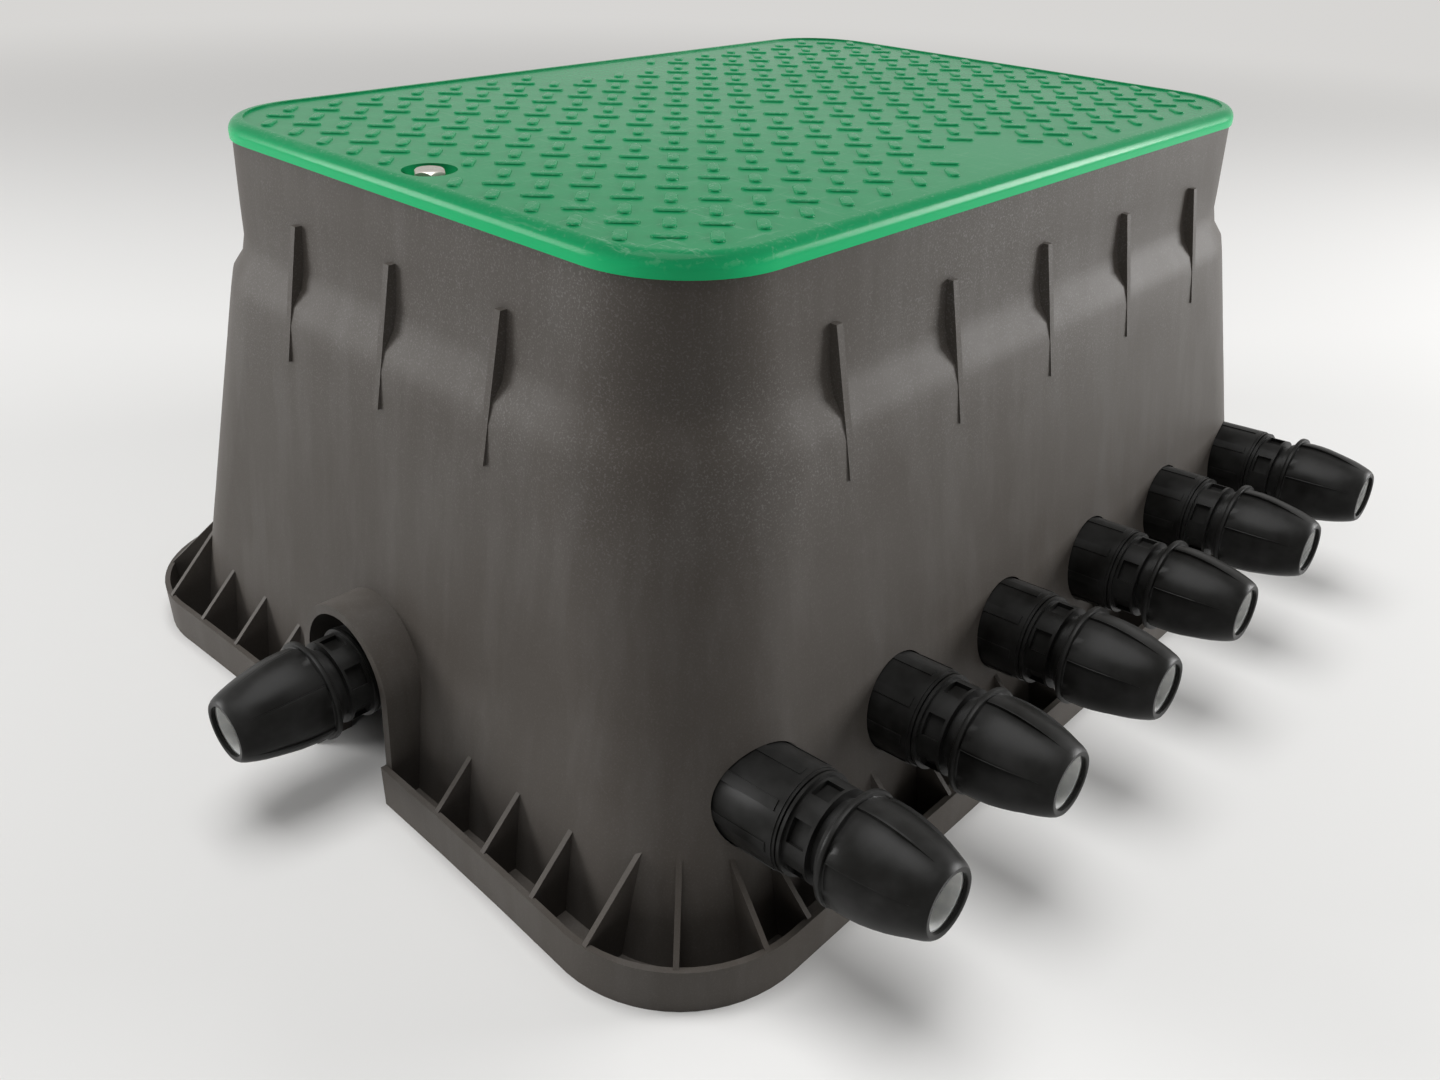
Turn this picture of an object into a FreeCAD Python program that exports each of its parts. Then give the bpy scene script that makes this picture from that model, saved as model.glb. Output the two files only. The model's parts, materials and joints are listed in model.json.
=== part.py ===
import FreeCAD, Part
import math
import os

import Sketcher
from FreeCAD import Placement, Rotation, Vector

# Irrigation valve box with a manifold, valves and compression fittings, in millimetres.
# The origin is the centre of the box's base. X runs along the box, Z points up,
# the inlet comes in through the arch at -X and the outlets leave the wall at -Y.

DIMENSIONS = {
    # Box shell
    "box_height": 302.5,
    "wall": 4.5,
    "wall_taper": 10,
    "end_taper": 7.6,
    "rim_inset": 1.5,
    "rim_corner": 51,
    "rim_ledge_width": 15,
    "rim_ledge_height": 7,
    "collar_drop": 31,
    "waist_drop": 50,
    "waist_flare": 4.5,
    "shoulder_drop": 77,
    "shoulder_flare": 16,
    "shoulder_corner": 75,
    "base_corner": 53,
    # Skirt round the base
    "skirt_length": 644,
    "skirt_width": 501,
    "skirt_corner": 71,
    "skirt_height": 24.5,
    "skirt_wall": 3,
    "skirt_floor": 3,
    "skirt_bow": 4.2,
    "gusset_pitch": 37,
    "gusset_thickness": 2.6,
    "gusset_slope": 45,
    # Fins over the waist
    "fin_thickness": 4,
    "fin_top_drop": 29,
    "fin_foot_drop": 95,
    "fin_top_proud": 3.5,
    "fin_foot_proud": 1,
    "fin_pitch_long": 85,
    "fin_pitch_short": 80,
    # Arch over the inlet
    "arch_radius": 33,
    "arch_wall": 5,
    "arch_setback": 6,
    "arch_lean": 3,
    # Lid
    "lid_length": 516,
    "lid_width": 362,
    "lid_corner": 53,
    "lid_edge": 9.5,
    "lid_edge_round": 6.5,
    "lid_plate": 4,
    "lid_border": 8,
    "lid_dish": 1,
    "lid_skirt": 4,
    "lid_rib_thickness": 3,
    "lid_rib_pitch": 86,
    "lid_ring_depth": 7,
    "lid_ring_thickness": 3,
    "lid_ring_clearance": 1.2,
    # Lid bolt
    "bolt_edge_distance": 23,
    "bolt_diameter": 8,
    "bolt_length": 31,
    "bolt_head_width": 13,
    "bolt_head_height": 5.3,
    "washer_diameter": 16,
    "washer_thickness": 1.6,
    "nut_height": 6.5,
    "recess_diameter": 25,
    "recess_depth": 6.5,
    "boss_diameter": 27,
    "boss_height": 28,
    # Pipework layout
    "manifold_height": 62,
    "outlet_pitch": 95.6,
    "outlet_tilt": 3.5,
    "socket_face_distance": 242.5,
    "inlet_face_distance": 306,
    "fit_clearance": 0.3,
    "bolt_clearance": 0.5,
    # Compression fitting for 25 mm pipe
    "pipe_bore": 25.8,
    "pipe_stop_bore": 20,
    "thread_diameter": 33.2,
    "thread_length": 16,
    "flange_diameter": 48,
    "flange_thickness": 4,
    "flange_groove_start": 1.5,
    "flange_groove_width": 1,
    "flange_groove_depth": 1.4,
    "hub_diameter": 44,
    "hub_length": 12,
    "window_depth": 3,
    "window_width": 11,
    "neck_diameter": 36,
    "neck_length": 4,
    "spigot_diameter": 42,
    "spigot_length": 27,
    "seal_seat_diameter": 32.6,
    "seal_seat_depth": 5.6,
    "seal_section": 3.2,
    "pipe_stop_depth": 38,
    # Compression nut, grip ring and pressing bush
    "nut_length": 46.5,
    "nut_start": 24,
    "nut_collar_diameter": 53,
    "nut_collar_length": 3,
    "nut_mouth_diameter": 31.8,
    "nut_panel_depth": 0.9,
    "nut_panel_step": 1.3,
    "nut_thread_length": 26,
    "nut_cone_large": 39.4,
    "nut_cone_small": 30.4,
    "nut_lip": 2.4,
    "bush_length": 4,
    "grip_gap": 3,
    # Wall socket
    "socket_length": 37.5,
    "socket_diameter": 49,
    "socket_rib": 0.5,
    "socket_rib_width": 5,
    "socket_end_round": 3,
    # Manifold
    "manifold_diameter": 42,
    "manifold_bore": 28,
    "manifold_end_distance": 280,
    "branch_length": 42,
    "branch_thread_diameter": 41,
    "port_diameter": 47,
    "port_length": 26,
    "cap_diameter": 50,
    "cap_length": 22,
    "union_diameter": 50,
    "union_length": 22,
    "union_lip": 4,
    "union_seal_section": 2.4,
    "union_seal_diameter": 33,
    # Valve
    "valve_centre_distance": 120,
    "valve_flange_diameter": 76,
    "valve_flange_thickness": 6,
    "valve_bowl_diameter": 66,
    "valve_bowl_depth": 22,
    "valve_chamber_diameter": 54,
    "valve_seat_height": 14,
    "valve_bore": 24,
    "valve_hex_width": 42,
    "valve_hex_length": 10,
    "valve_outlet_reach": 226,
    "tail_flange_diameter": 39,
    "tail_flange_thickness": 4,
    "diaphragm_thickness": 2,
    "bonnet_dome_height": 20,
    "bonnet_dome_diameter": 54,
    "bonnet_rib_thickness": 2.5,
    "screw_circle": 67,
    "screw_diameter": 4.8,
    "screw_head_diameter": 8.5,
    "screw_head_height": 3.4,
    "screw_length": 12,
    "solenoid_offset": 19,
    "solenoid_boss_diameter": 27,
    "solenoid_boss_height": 26,
    "solenoid_diameter": 28,
    "solenoid_height": 40,
    "solenoid_stem_diameter": 18,
    "solenoid_stem_length": 8,
}

OUTLETS = 6
NUT_PANELS = 6
VALVE_SCREWS = 6

doc = FreeCAD.newDocument("irrigation_valve_box")
sheet = doc.addObject("Spreadsheet::Sheet", "Dimensions")
for row, (alias, number) in enumerate(DIMENSIONS.items(), start=1):
    sheet.set(f"A{row}", alias)
    sheet.set(f"B{row}", str(number))
    sheet.setAlias(f"B{row}", alias)
doc.recompute()


class Sizes:
    """Gives each sheet cell as an expression, so that d.wall is "Dimensions.wall"."""

    def __getattr__(self, alias):
        if alias not in DIMENSIONS:
            raise AttributeError(alias)
        return "Dimensions." + alias


d = Sizes()


def value(expression):
    """The number that an expression on the sheet gives now."""
    return float(sheet.evalExpression(str(expression)))


def bind(item, **sizes):
    """Binds properties of an object to expressions."""
    for name, expression in sizes.items():
        item.setExpression(name, str(expression))
    return item


def place(item, x=0, y=0, z=0, rotation=None):
    """Puts an object at a point given by expressions."""
    item.Placement = Placement(Vector(value(x), value(y), value(z)), rotation or Rotation())
    for axis, expression in (("x", x), ("y", y), ("z", z)):
        if isinstance(expression, str):
            item.setExpression("Placement.Base." + axis, expression)
    return item


def block(name, length, width, height):
    """A box with one corner at its own origin."""
    return bind(doc.addObject("Part::Box", name), Length=length, Width=width, Height=height)


def rod(name, diameter, height):
    """A cylinder along its own Z."""
    return bind(doc.addObject("Part::Cylinder", name), Radius=f"({diameter}) / 2", Height=height)


def hexagon(name, width, height):
    """A hexagonal bar along its own Z, from its width across flats."""
    prism = doc.addObject("Part::Prism", name)
    prism.Polygon = 6
    return bind(prism, Circumradius=f"({width}) / 2 / cos(30 deg)", Height=height)


def fuse(name, *parts):
    joined = doc.addObject("Part::MultiFuse", name)
    joined.Shapes = list(parts)
    return joined


def cut(name, base, tool):
    result = doc.addObject("Part::Cut", name)
    result.Base = base
    result.Tool = tool
    return result


def common(name, *parts):
    shared = doc.addObject("Part::MultiCommon", name)
    shared.Shapes = list(parts)
    return shared


ALONG_Y = Rotation(Vector(1, 0, 0), -90)
ALONG_X = Rotation(Vector(0, 1, 0), 90)


def draw_rounded_rectangle(sketch, length, width, radius):
    """Draws and constrains a rounded rectangle centred on the sketch's origin."""
    half_x = value(length) / 2
    half_y = value(width) / 2
    corner = value(radius)
    x = half_x - corner
    y = half_y - corner
    sides = [
        (Vector(-x, -half_y, 0), Vector(x, -half_y, 0)),
        (Vector(half_x, -y, 0), Vector(half_x, y, 0)),
        (Vector(x, half_y, 0), Vector(-x, half_y, 0)),
        (Vector(-half_x, y, 0), Vector(-half_x, -y, 0)),
    ]
    centres = [Vector(x, -y, 0), Vector(x, y, 0), Vector(-x, y, 0), Vector(-x, -y, 0)]
    lines = [sketch.addGeometry(Part.LineSegment(a, b)) for a, b in sides]
    arcs = []
    for quarter, centre in enumerate(centres):
        start = math.radians(90 * (quarter - 1))
        circle = Part.Circle(centre, Vector(0, 0, 1), corner)
        arcs.append(sketch.addGeometry(Part.ArcOfCircle(circle, start, start + math.pi / 2)))
    for n in range(4):
        sketch.addConstraint(Sketcher.Constraint("Tangent", lines[n], 2, arcs[n], 1))
        sketch.addConstraint(Sketcher.Constraint("Tangent", arcs[n], 2, lines[(n + 1) % 4], 1))
        sketch.addConstraint(Sketcher.Constraint("Vertical" if n % 2 else "Horizontal", lines[n]))
        if n:
            sketch.addConstraint(Sketcher.Constraint("Equal", arcs[0], arcs[n]))
    sketch.addConstraint(Sketcher.Constraint("Symmetric", arcs[0], 3, arcs[2], 3, -1, 1))
    across = Sketcher.Constraint("DistanceX", lines[3], 1, lines[1], 1, 2 * half_x)
    along = Sketcher.Constraint("DistanceY", lines[0], 1, lines[2], 1, 2 * half_y)
    bend = Sketcher.Constraint("Radius", arcs[0], corner)
    for name, constraint, size in (("span_x", across, length), ("span_y", along, width), ("corner", bend, radius)):
        index = sketch.addConstraint(constraint)
        sketch.renameConstraint(index, name)
        sketch.setExpression("Constraints." + name, size)


def rounded_section(name, length, width, radius, height):
    """A rounded rectangle lying at a height."""
    sketch = doc.addObject("Sketcher::SketchObject", name)
    draw_rounded_rectangle(sketch, length, width, radius)
    return place(sketch, z=height)


def loft(name, sections, ruled=True):
    skin = doc.addObject("Part::Loft", name)
    skin.Sections = sections
    skin.Solid = True
    skin.Ruled = ruled
    return skin


def slab(name, length, width, radius, foot, height):
    """An upright prism on a rounded rectangle, from a foot height."""
    prism = doc.addObject("Part::Extrusion", name)
    prism.Base = rounded_section(name + "_outline", length, width, radius, foot)
    prism.DirMode = "Custom"
    prism.Dir = Vector(0, 0, 1)
    prism.Solid = True
    return bind(prism, LengthFwd=height)


def origin_feature(body, role):
    return next(f for f in body.Origin.OriginFeatures if f.Role == role)


def draw_outline(sketch, points):
    """Draws a closed outline through points given by expressions, each tied to the axes."""
    corners = [Vector(value(x), value(y), 0) for x, y in points]
    count = len(corners)
    lines = [sketch.addGeometry(Part.LineSegment(corners[n], corners[(n + 1) % count])) for n in range(count)]
    for n, (x, y) in enumerate(points):
        sketch.addConstraint(Sketcher.Constraint("Coincident", lines[n - 1], 2, lines[n], 1))
        for letter, size, axis in (("X", x, -2), ("Y", y, -1)):
            if str(size) == "0":
                sketch.addConstraint(Sketcher.Constraint("PointOnObject", lines[n], 1, axis))
                continue
            kind = "Distance" + letter
            index = sketch.addConstraint(Sketcher.Constraint(kind, -1, 1, lines[n], 1, value(size)))
            name = f"{letter.lower()}_{n}"
            sketch.renameConstraint(index, name)
            sketch.setExpression("Constraints." + name, str(size))


def turned(name, points):
    """A turned piece: an outline of (radius, distance) points revolved about its own Y axis."""
    body = doc.addObject("PartDesign::Body", name)
    sketch = body.newObject("Sketcher::SketchObject", name + "_profile")
    sketch.AttachmentSupport = (origin_feature(body, "XY_Plane"), [""])
    sketch.MapMode = "FlatFace"
    draw_outline(sketch, points)
    doc.recompute()
    revolution = body.newObject("PartDesign::Revolution", name + "_turning")
    revolution.Profile = sketch
    revolution.ReferenceAxis = (sketch, ["V_Axis"])
    revolution.Angle = 360
    body.Tip = revolution
    doc.recompute()
    return body


def ring_of(name, maker, count, axis):
    """Fuses count copies of a piece, turned evenly about an axis through the origin."""
    copies = []
    for n in range(count):
        piece = maker(f"{name}_{n + 1}")
        for letter in "xyz":
            piece.setExpression("Placement.Base." + letter, None)
        turn = Placement(Vector(), Rotation(axis, 360 * n / count))
        piece.Placement = turn.multiply(piece.Placement)
        copies.append(piece)
    return fuse(name, *copies)


kept = {}


def keep(name, source, placement=None):
    """Keeps a finished piece under its node's name."""
    piece = doc.addObject("Part::Feature", name)
    doc.recompute()
    piece.Shape = source.Shape.copy()
    piece.Placement = (placement or Placement()).multiply(source.Placement)
    piece.Label = name
    kept[name] = piece
    return piece


def keep_group(name, source, placements):
    """Keeps identical separate pieces as one node."""
    doc.recompute()
    solids = []
    for spot in placements:
        shape = source.Shape.copy()
        shape.Placement = spot.multiply(source.Placement)
        solids.extend(shape.Solids)
    piece = doc.addObject("Part::Feature", name)
    piece.Shape = Part.makeCompound(solids)
    piece.Label = name
    kept[name] = piece
    return piece


# Where the pieces of each outlet line stand: local Y runs outwards from the manifold's axis
# and is tilted up a little, local Z is up.
def outlet_frame(number, distance=0):
    x = (number - (OUTLETS - 1) / 2) * value(d.outlet_pitch)
    tilt = Rotation(Vector(1, 0, 0), -value(d.outlet_tilt))
    turn = tilt.multiply(Rotation(Vector(0, 0, 1), 180))
    line = Placement(Vector(x, 0, value(d.manifold_height)), turn)
    return line.multiply(Placement(Vector(0, distance, 0), Rotation()))


def inlet_frame(distance=0):
    line = Placement(Vector(0, 0, value(d.manifold_height)), Rotation(Vector(0, 0, 1), 90))
    return line.multiply(Placement(Vector(0, distance, 0), Rotation()))


outlet_lines = [outlet_frame(n) for n in range(OUTLETS)]
fitting_distance = value(f"{d.socket_face_distance} - {d.thread_length}")
inlet_distance = value(f"{d.inlet_face_distance} - {d.thread_length}")
fitting_lines = [outlet_frame(n, fitting_distance) for n in range(OUTLETS)] + [inlet_frame(inlet_distance)]
fitting_names = [f"outlet_{n + 1}" for n in range(OUTLETS)] + ["inlet"]

# Heights and outlines of the shell, from the foot up. Each level gives its height, how far its
# ends and its long sides stand out from the rim, and its corner radius. Heights near the top
# are given as drops below the rim, so that they follow it.
rim_height = f"({d.box_height} - {d.lid_edge})"
collar_height = f"({rim_height} - {d.collar_drop})"
waist_height = f"({rim_height} - {d.waist_drop})"
shoulder_height = f"({rim_height} - {d.shoulder_drop})"
fin_top_height = f"({rim_height} - {d.fin_top_drop})"
fin_foot_height = f"({rim_height} - {d.fin_foot_drop})"
rim_length = f"({d.lid_length} - 2 * {d.rim_inset})"
rim_width = f"({d.lid_width} - 2 * {d.rim_inset})"


def taper_flare(height, taper):
    return f"({d.shoulder_flare} + ({shoulder_height} - ({height})) * tan({taper} * 1 deg))"


below_floor = "(-5)"
bend_height = f"({shoulder_height} + 0.35 * ({waist_height} - {shoulder_height}))"
hollow_height = f"({shoulder_height} + 0.65 * ({waist_height} - {shoulder_height}))"
flare_rise = f"({d.shoulder_flare} - {d.waist_flare})"
bend_flare = f"({d.shoulder_flare} - 0.26 * {flare_rise})"
hollow_flare = f"({d.waist_flare} + 0.24 * {flare_rise})"
collar_flare = f"(0.55 * {d.waist_flare})"
foot_flares = (taper_flare(below_floor, d.end_taper), taper_flare(below_floor, d.wall_taper))
SHELL_LEVELS = [
    ("foot", below_floor, *foot_flares, d.base_corner),
    ("shoulder", shoulder_height, d.shoulder_flare, d.shoulder_flare, d.shoulder_corner),
    ("bend", bend_height, bend_flare, bend_flare, f"({d.shoulder_corner} - 4)"),
    ("hollow", hollow_height, hollow_flare, hollow_flare, f"({d.shoulder_corner} - 9)"),
    ("waist", waist_height, d.waist_flare, d.waist_flare, f"({d.shoulder_corner} - 13)"),
    ("collar", collar_height, collar_flare, collar_flare, f"({d.rim_corner} + 5)"),
    ("rim", rim_height, "0", "0", d.rim_corner),
]


def shell_skin(name, inset, top_height):
    """The shell's form, moved inwards by an inset, up to a height."""
    sections = []
    for level, height, end_flare, side_flare, corner in SHELL_LEVELS:
        length = f"{rim_length} + 2 * ({end_flare} - ({inset}))"
        width = f"{rim_width} + 2 * ({side_flare} - ({inset}))"
        level_height = top_height if level == "rim" else height
        sections.append(rounded_section(f"{name}_{level}", length, width, f"{corner} - ({inset})", level_height))
    return loft(name, sections)


# The skirt's short sides are bowed inwards: an arc with this radius over the straight part.
skirt_chord = f"({d.skirt_width} - 2 * {d.skirt_corner})"
bow_radius = f"({skirt_chord} * {skirt_chord} / 8 / {d.skirt_bow})"


def bowed_slab(name, inset, foot):
    """The skirt's outline moved inwards by an inset, with its bowed short sides."""
    sides = (f"{d.skirt_length} - 2 * {inset}", f"{d.skirt_width} - 2 * {inset}")
    blank = slab(name + "_blank", *sides, f"{d.skirt_corner} - {inset}", foot, d.skirt_height)
    bows = []
    for side in (-1, 1):
        bow = rod(f"{name}_bow_{side + 2}", f"2 * ({bow_radius} + {inset})", f"2 * {d.skirt_height}")
        reach = f"{side} * ({d.skirt_length} / 2 - {d.skirt_bow} + {bow_radius})"
        bows.append(place(bow, x=reach, z=f"-{d.skirt_floor}"))
    return cut(name, blank, fuse(name + "_bows", *bows))


def skirt_tray():
    """The tray round the base: a lip and a floor, with gussets between lip and wall."""
    outer = bowed_slab("skirt_outer", "0", "0")
    return cut("skirt_tray", outer, bowed_slab("skirt_inner", d.skirt_wall, d.skirt_floor))


GUSSET_REACH = 46
GUSSETS_FROM_ARCH = 79
CORNER_GUSSET_ANGLES = (43, 77)


def gusset(name, x, y, facing):
    """A rib from the lip's inner face inwards, its top edge rising to the wall."""
    rib = doc.addObject("Part::Wedge", name)
    rise = f"{d.skirt_height} + {GUSSET_REACH} * tan({d.gusset_slope} * 1 deg)"
    half = f"{d.gusset_thickness} / 2"
    bind(rib, Xmin=f"-{half}", Xmax=half, X2min=f"-{half}", X2max=half)
    bind(rib, Ymin=f"-{d.skirt_wall} / 2", Ymax=f"{GUSSET_REACH} * 1", Zmin="0", Z2min="0")
    bind(rib, Zmax=d.skirt_height, Z2max=rise)
    rib.Placement = Placement(Vector(x, y, 0), Rotation(Vector(0, 0, 1), facing))
    return rib


def gussets():
    """All ribs of the skirt: along the sides at one pitch, and two round each corner."""
    pitch = value(d.gusset_pitch)
    half_x = value(d.skirt_length) / 2
    half_y = value(d.skirt_width) / 2
    corner = value(d.skirt_corner)
    wall = value(d.skirt_wall)
    bow = value(d.skirt_bow)
    spots = []
    for n in range(4):
        y = GUSSETS_FROM_ARCH + n * pitch
        sag = max(0.0, bow * (1 - (y / (half_y - corner)) ** 2))
        x = half_x - wall - sag
        spots += [(side * x, sign * y, side * 90) for side in (-1, 1) for sign in (-1, 1)]
    x = pitch / 2
    while x < half_x - corner:
        spots += [(sign * x, side * (half_y - wall), 180 if side > 0 else 0) for side in (-1, 1) for sign in (-1, 1)]
        x += pitch
    for side_x in (-1, 1):
        for side_y in (-1, 1):
            for angle in CORNER_GUSSET_ANGLES:
                out = math.radians(angle)
                reach = corner - wall
                foot_x = side_x * (half_x - corner + reach * math.cos(out))
                foot_y = side_y * (half_y - corner + reach * math.sin(out))
                facing = math.degrees(math.atan2(-side_y * math.sin(out), -side_x * math.cos(out))) - 90
                spots.append((foot_x, foot_y, facing))
    return fuse("gussets", *[gusset(f"gusset_{n + 1}", *spot) for n, spot in enumerate(spots)])


def fin(name, x, y, facing):
    """A thin fin over the waist, its outer edge straight from the collar to the shoulder."""
    plate = doc.addObject("Part::Wedge", name)
    half = f"{d.fin_thickness} / 2"
    depth = f"{d.wall} / 2 * -1"
    share = f"{d.fin_top_drop} / {d.collar_drop}"
    top_flare = f"{collar_flare} * {share} + {d.fin_top_proud}"
    foot_flare = f"{taper_flare(fin_foot_height, d.wall_taper)} + {d.fin_foot_proud}"
    bind(plate, Xmin=f"-{half}", Xmax=half, X2min=f"-{half}", X2max=half)
    bind(plate, Ymin=fin_foot_height, Ymax=fin_top_height, Zmin=depth, Z2min=depth)
    bind(plate, Zmax=foot_flare, Z2max=top_flare)
    upright = Rotation(Vector(0, 0, 1), facing).multiply(Rotation(Vector(1, 0, 0), 90))
    plate.Placement = Placement(Vector(x, y, 0), upright)
    return plate


def fins():
    """Three fins on each short side and five on each long side."""
    half_x = value(rim_length) / 2
    half_y = value(rim_width) / 2
    spots = []
    for n in (-1, 0, 1):
        y = n * value(d.fin_pitch_short)
        spots += [(half_x, y, 90), (-half_x, y, -90)]
    for n in (-2, -1, 0, 1, 2):
        x = n * value(d.fin_pitch_long)
        spots += [(x, -half_y, 0), (x, half_y, 180)]
    return fuse("fins", *[fin(f"fin_{n + 1}", *spot) for n, spot in enumerate(spots)])


def arch_form(name, radius, start, reach):
    """A mouse-hole form along X round the inlet's axis: a half round top on straight legs."""
    top = rod(name + "_top", f"2 * {radius}", reach)
    place(top, x=start, z=d.manifold_height, rotation=ALONG_X)
    legs = block(name + "_legs", reach, f"2 * {radius}", f"{d.manifold_height} - {below_floor}")
    place(legs, x=start, y=f"-({radius})", z=below_floor)
    return fuse(name, top, legs)


def outlet_holes():
    """The six round holes that the wall sockets pass through."""
    holes = []
    for n in range(OUTLETS):
        diameter = f"{d.socket_diameter} + 2 * {d.socket_rib} + 2 * {d.fit_clearance}"
        hole = rod(f"outlet_hole_{n + 1}", diameter, d.socket_face_distance)
        lying = Placement(Vector(0, value(f"{socket_start} - {d.socket_length}"), 0), ALONG_Y)
        hole.Placement = outlet_lines[n].multiply(lying)
        holes.append(hole)
    return fuse("outlet_holes", *holes)


bolt_x = f"(-{d.lid_length} / 2 + {d.bolt_edge_distance})"


def box_body():
    """The moulded box: tapered shell, collar, fins, ledge, skirt, gussets, arch and bolt boss."""
    skin = shell_skin("outer_skin", "0", rim_height)
    tray = skirt_tray()
    hood_start = f"(-{d.skirt_length} / 2 + {d.arch_setback})"
    hood_form = arch_form("hood_form", f"({d.arch_radius} + {d.arch_wall})", hood_start, "60")
    hood_front = block("hood_front", "40", "120", "160")
    lean = Rotation(Vector(0, 1, 0), value(d.arch_lean))
    hood_foot = Placement(Vector(value(hood_start), -60, 0), lean)
    hood_front.Placement = hood_foot.multiply(Placement(Vector(-40, 0, -10), Rotation()))
    hood = cut("hood", hood_form, hood_front)
    above_ground = block("above_ground", "800", "700", "400")
    place(above_ground, x="-400", y="-350")
    solid = common("solid_box", fuse("filled_box", skin, tray, hood, gussets(), fins()), above_ground)
    cavity_top = f"{rim_height} - {d.rim_ledge_height}"
    cavity = shell_skin("cavity", d.wall, cavity_top)
    mouth_inset = f"2 * {d.rim_ledge_width}"
    mouth_sides = (f"{rim_length} - {mouth_inset}", f"{rim_width} - {mouth_inset}")
    mouth_corner = f"{d.rim_corner} - {d.rim_ledge_width}"
    mouth_foot = f"{rim_height} - 3 * {d.rim_ledge_height}"
    mouth = slab("mouth", *mouth_sides, mouth_corner, mouth_foot, f"4 * {d.rim_ledge_height}")
    tunnel = arch_form("tunnel", d.arch_radius, f"-{d.skirt_length} / 2 - 5", "120")
    shell = cut("shell", solid, fuse("hollows", cavity, mouth, tunnel, outlet_holes()))
    boss = rod("bolt_boss", d.boss_diameter, d.boss_height)
    place(boss, x=bolt_x, z=f"{rim_height} - {d.boss_height}")
    inside = shell_skin("boss_limit", "1", rim_height)
    bolt_hole = rod("bolt_hole", f"{d.bolt_diameter} + 2 * {d.bolt_clearance}", f"2 * {d.boss_height}")
    place(bolt_hole, x=bolt_x, z=f"{rim_height} - 1.5 * {d.boss_height}")
    pocket_height = f"{d.nut_height} + 2 * {d.fit_clearance} + 1"
    nut_pocket = hexagon("nut_pocket", f"{d.bolt_head_width} + 2 * {d.fit_clearance}", pocket_height)
    place(nut_pocket, x=bolt_x, z=f"{rim_height} - {d.boss_height} - 1")
    with_boss = fuse("box_with_boss", shell, common("boss_in_box", boss, inside))
    keep("box_body", cut("box_body_solid", with_boss, fuse("bolt_cuts", bolt_hole, nut_pocket)))


def lid_ribs():
    """Stiffening ribs under the lid, crossing each other inside the locating ring."""
    pitch = value(d.lid_rib_pitch)
    ring_inset = value(f"2 * ({d.rim_inset} + {d.rim_ledge_width} + {d.lid_ring_clearance}) + {d.lid_ring_thickness}")
    span_x = value(d.lid_length) - ring_inset
    span_y = value(d.lid_width) - ring_inset
    foot = f"{rim_height} - {d.lid_ring_depth}"
    height = f"{d.lid_edge} + {d.lid_ring_depth} - {d.lid_dish} - {d.lid_plate} / 2"
    ribs = []
    for n in range(-2, 3):
        rib = block(f"lid_cross_rib_{n + 3}", d.lid_rib_thickness, f"{span_y}", height)
        ribs.append(place(rib, x=f"{n * pitch} - {d.lid_rib_thickness} / 2", y=f"-{span_y / 2}", z=foot))
    for n in (-1, 0, 1):
        rib = block(f"lid_long_rib_{n + 2}", f"{span_x}", d.lid_rib_thickness, height)
        ribs.append(place(rib, x=f"-{span_x / 2}", y=f"{n * pitch} - {d.lid_rib_thickness} / 2", z=foot))
    return fuse("lid_ribs", *ribs)


def lid():
    """The green cover: a dished plate with a turned-down edge, a locating ring and ribs below."""
    sides = (d.lid_length, d.lid_width)
    blank = slab("lid_blank", *sides, d.lid_corner, rim_height, d.lid_edge)
    lid_body = doc.addObject("Part::Fillet", "lid_rounded")
    lid_body.Base = blank
    doc.recompute()
    top = value(d.box_height)
    rim = [n for n, edge in enumerate(blank.Shape.Edges, 1) if abs(edge.BoundBox.ZMin - top) < 1e-4]
    radius = value(d.lid_edge_round)
    lid_body.Edges = [(n, radius, radius) for n in rim]

    def inset_slab(name, inset, foot, height):
        outline = [f"{side} - 2 * ({inset})" for side in sides]
        return slab(name, *outline, f"{d.lid_corner} - ({inset})", foot, height)

    under_height = f"{d.lid_edge} - {d.lid_dish} - {d.lid_plate}"
    under = inset_slab("lid_under", d.lid_skirt, f"{rim_height} - 1", f"{under_height} + 1")
    dish = inset_slab("lid_dish_cut", d.lid_border, f"{d.box_height} - {d.lid_dish}", f"2 * {d.lid_dish}")
    ring_inset = f"{d.rim_inset} + {d.rim_ledge_width} + {d.lid_ring_clearance}"
    ring_foot = f"{rim_height} - {d.lid_ring_depth}"
    ring_height = f"{d.lid_ring_depth} + {under_height} + 1"
    ring_outer = inset_slab("lid_ring_outer", ring_inset, ring_foot, ring_height)
    ring_inner_inset = f"{ring_inset} + {d.lid_ring_thickness}"
    ring_inner = inset_slab("lid_ring_inner", ring_inner_inset, f"{ring_foot} - 1", f"{ring_height} + 2")
    ring = cut("lid_ring", ring_outer, ring_inner)
    cup = rod("lid_bolt_cup", f"{d.recess_diameter} + 2 * {d.lid_skirt}", under_height)
    place(cup, x=bolt_x, z=rim_height)
    recess = rod("lid_recess", d.recess_diameter, f"{d.recess_depth} + 5")
    recess_foot = f"{d.box_height} - {d.lid_dish} - {d.recess_depth}"
    place(recess, x=bolt_x, z=recess_foot)
    hole = rod("lid_bolt_hole", f"{d.bolt_diameter} + 2 * {d.bolt_clearance}", f"3 * {d.lid_edge}")
    place(hole, x=bolt_x, z=f"{rim_height} - {d.lid_edge}")
    plate = cut("lid_plate_solid", lid_body, fuse("lid_hollows", under, dish))
    joined = fuse("lid_joined", plate, ring, lid_ribs(), cup)
    floor = block("lid_clearance_cut", "60", "80", f"{d.lid_ring_depth} + {d.fit_clearance}")
    place(floor, x=f"{bolt_x} - 20", y="-40", z=f"{rim_height} - {d.lid_ring_depth}")
    keep("lid", cut("lid_solid", joined, fuse("lid_bolt_cuts", recess, hole, floor)))


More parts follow.
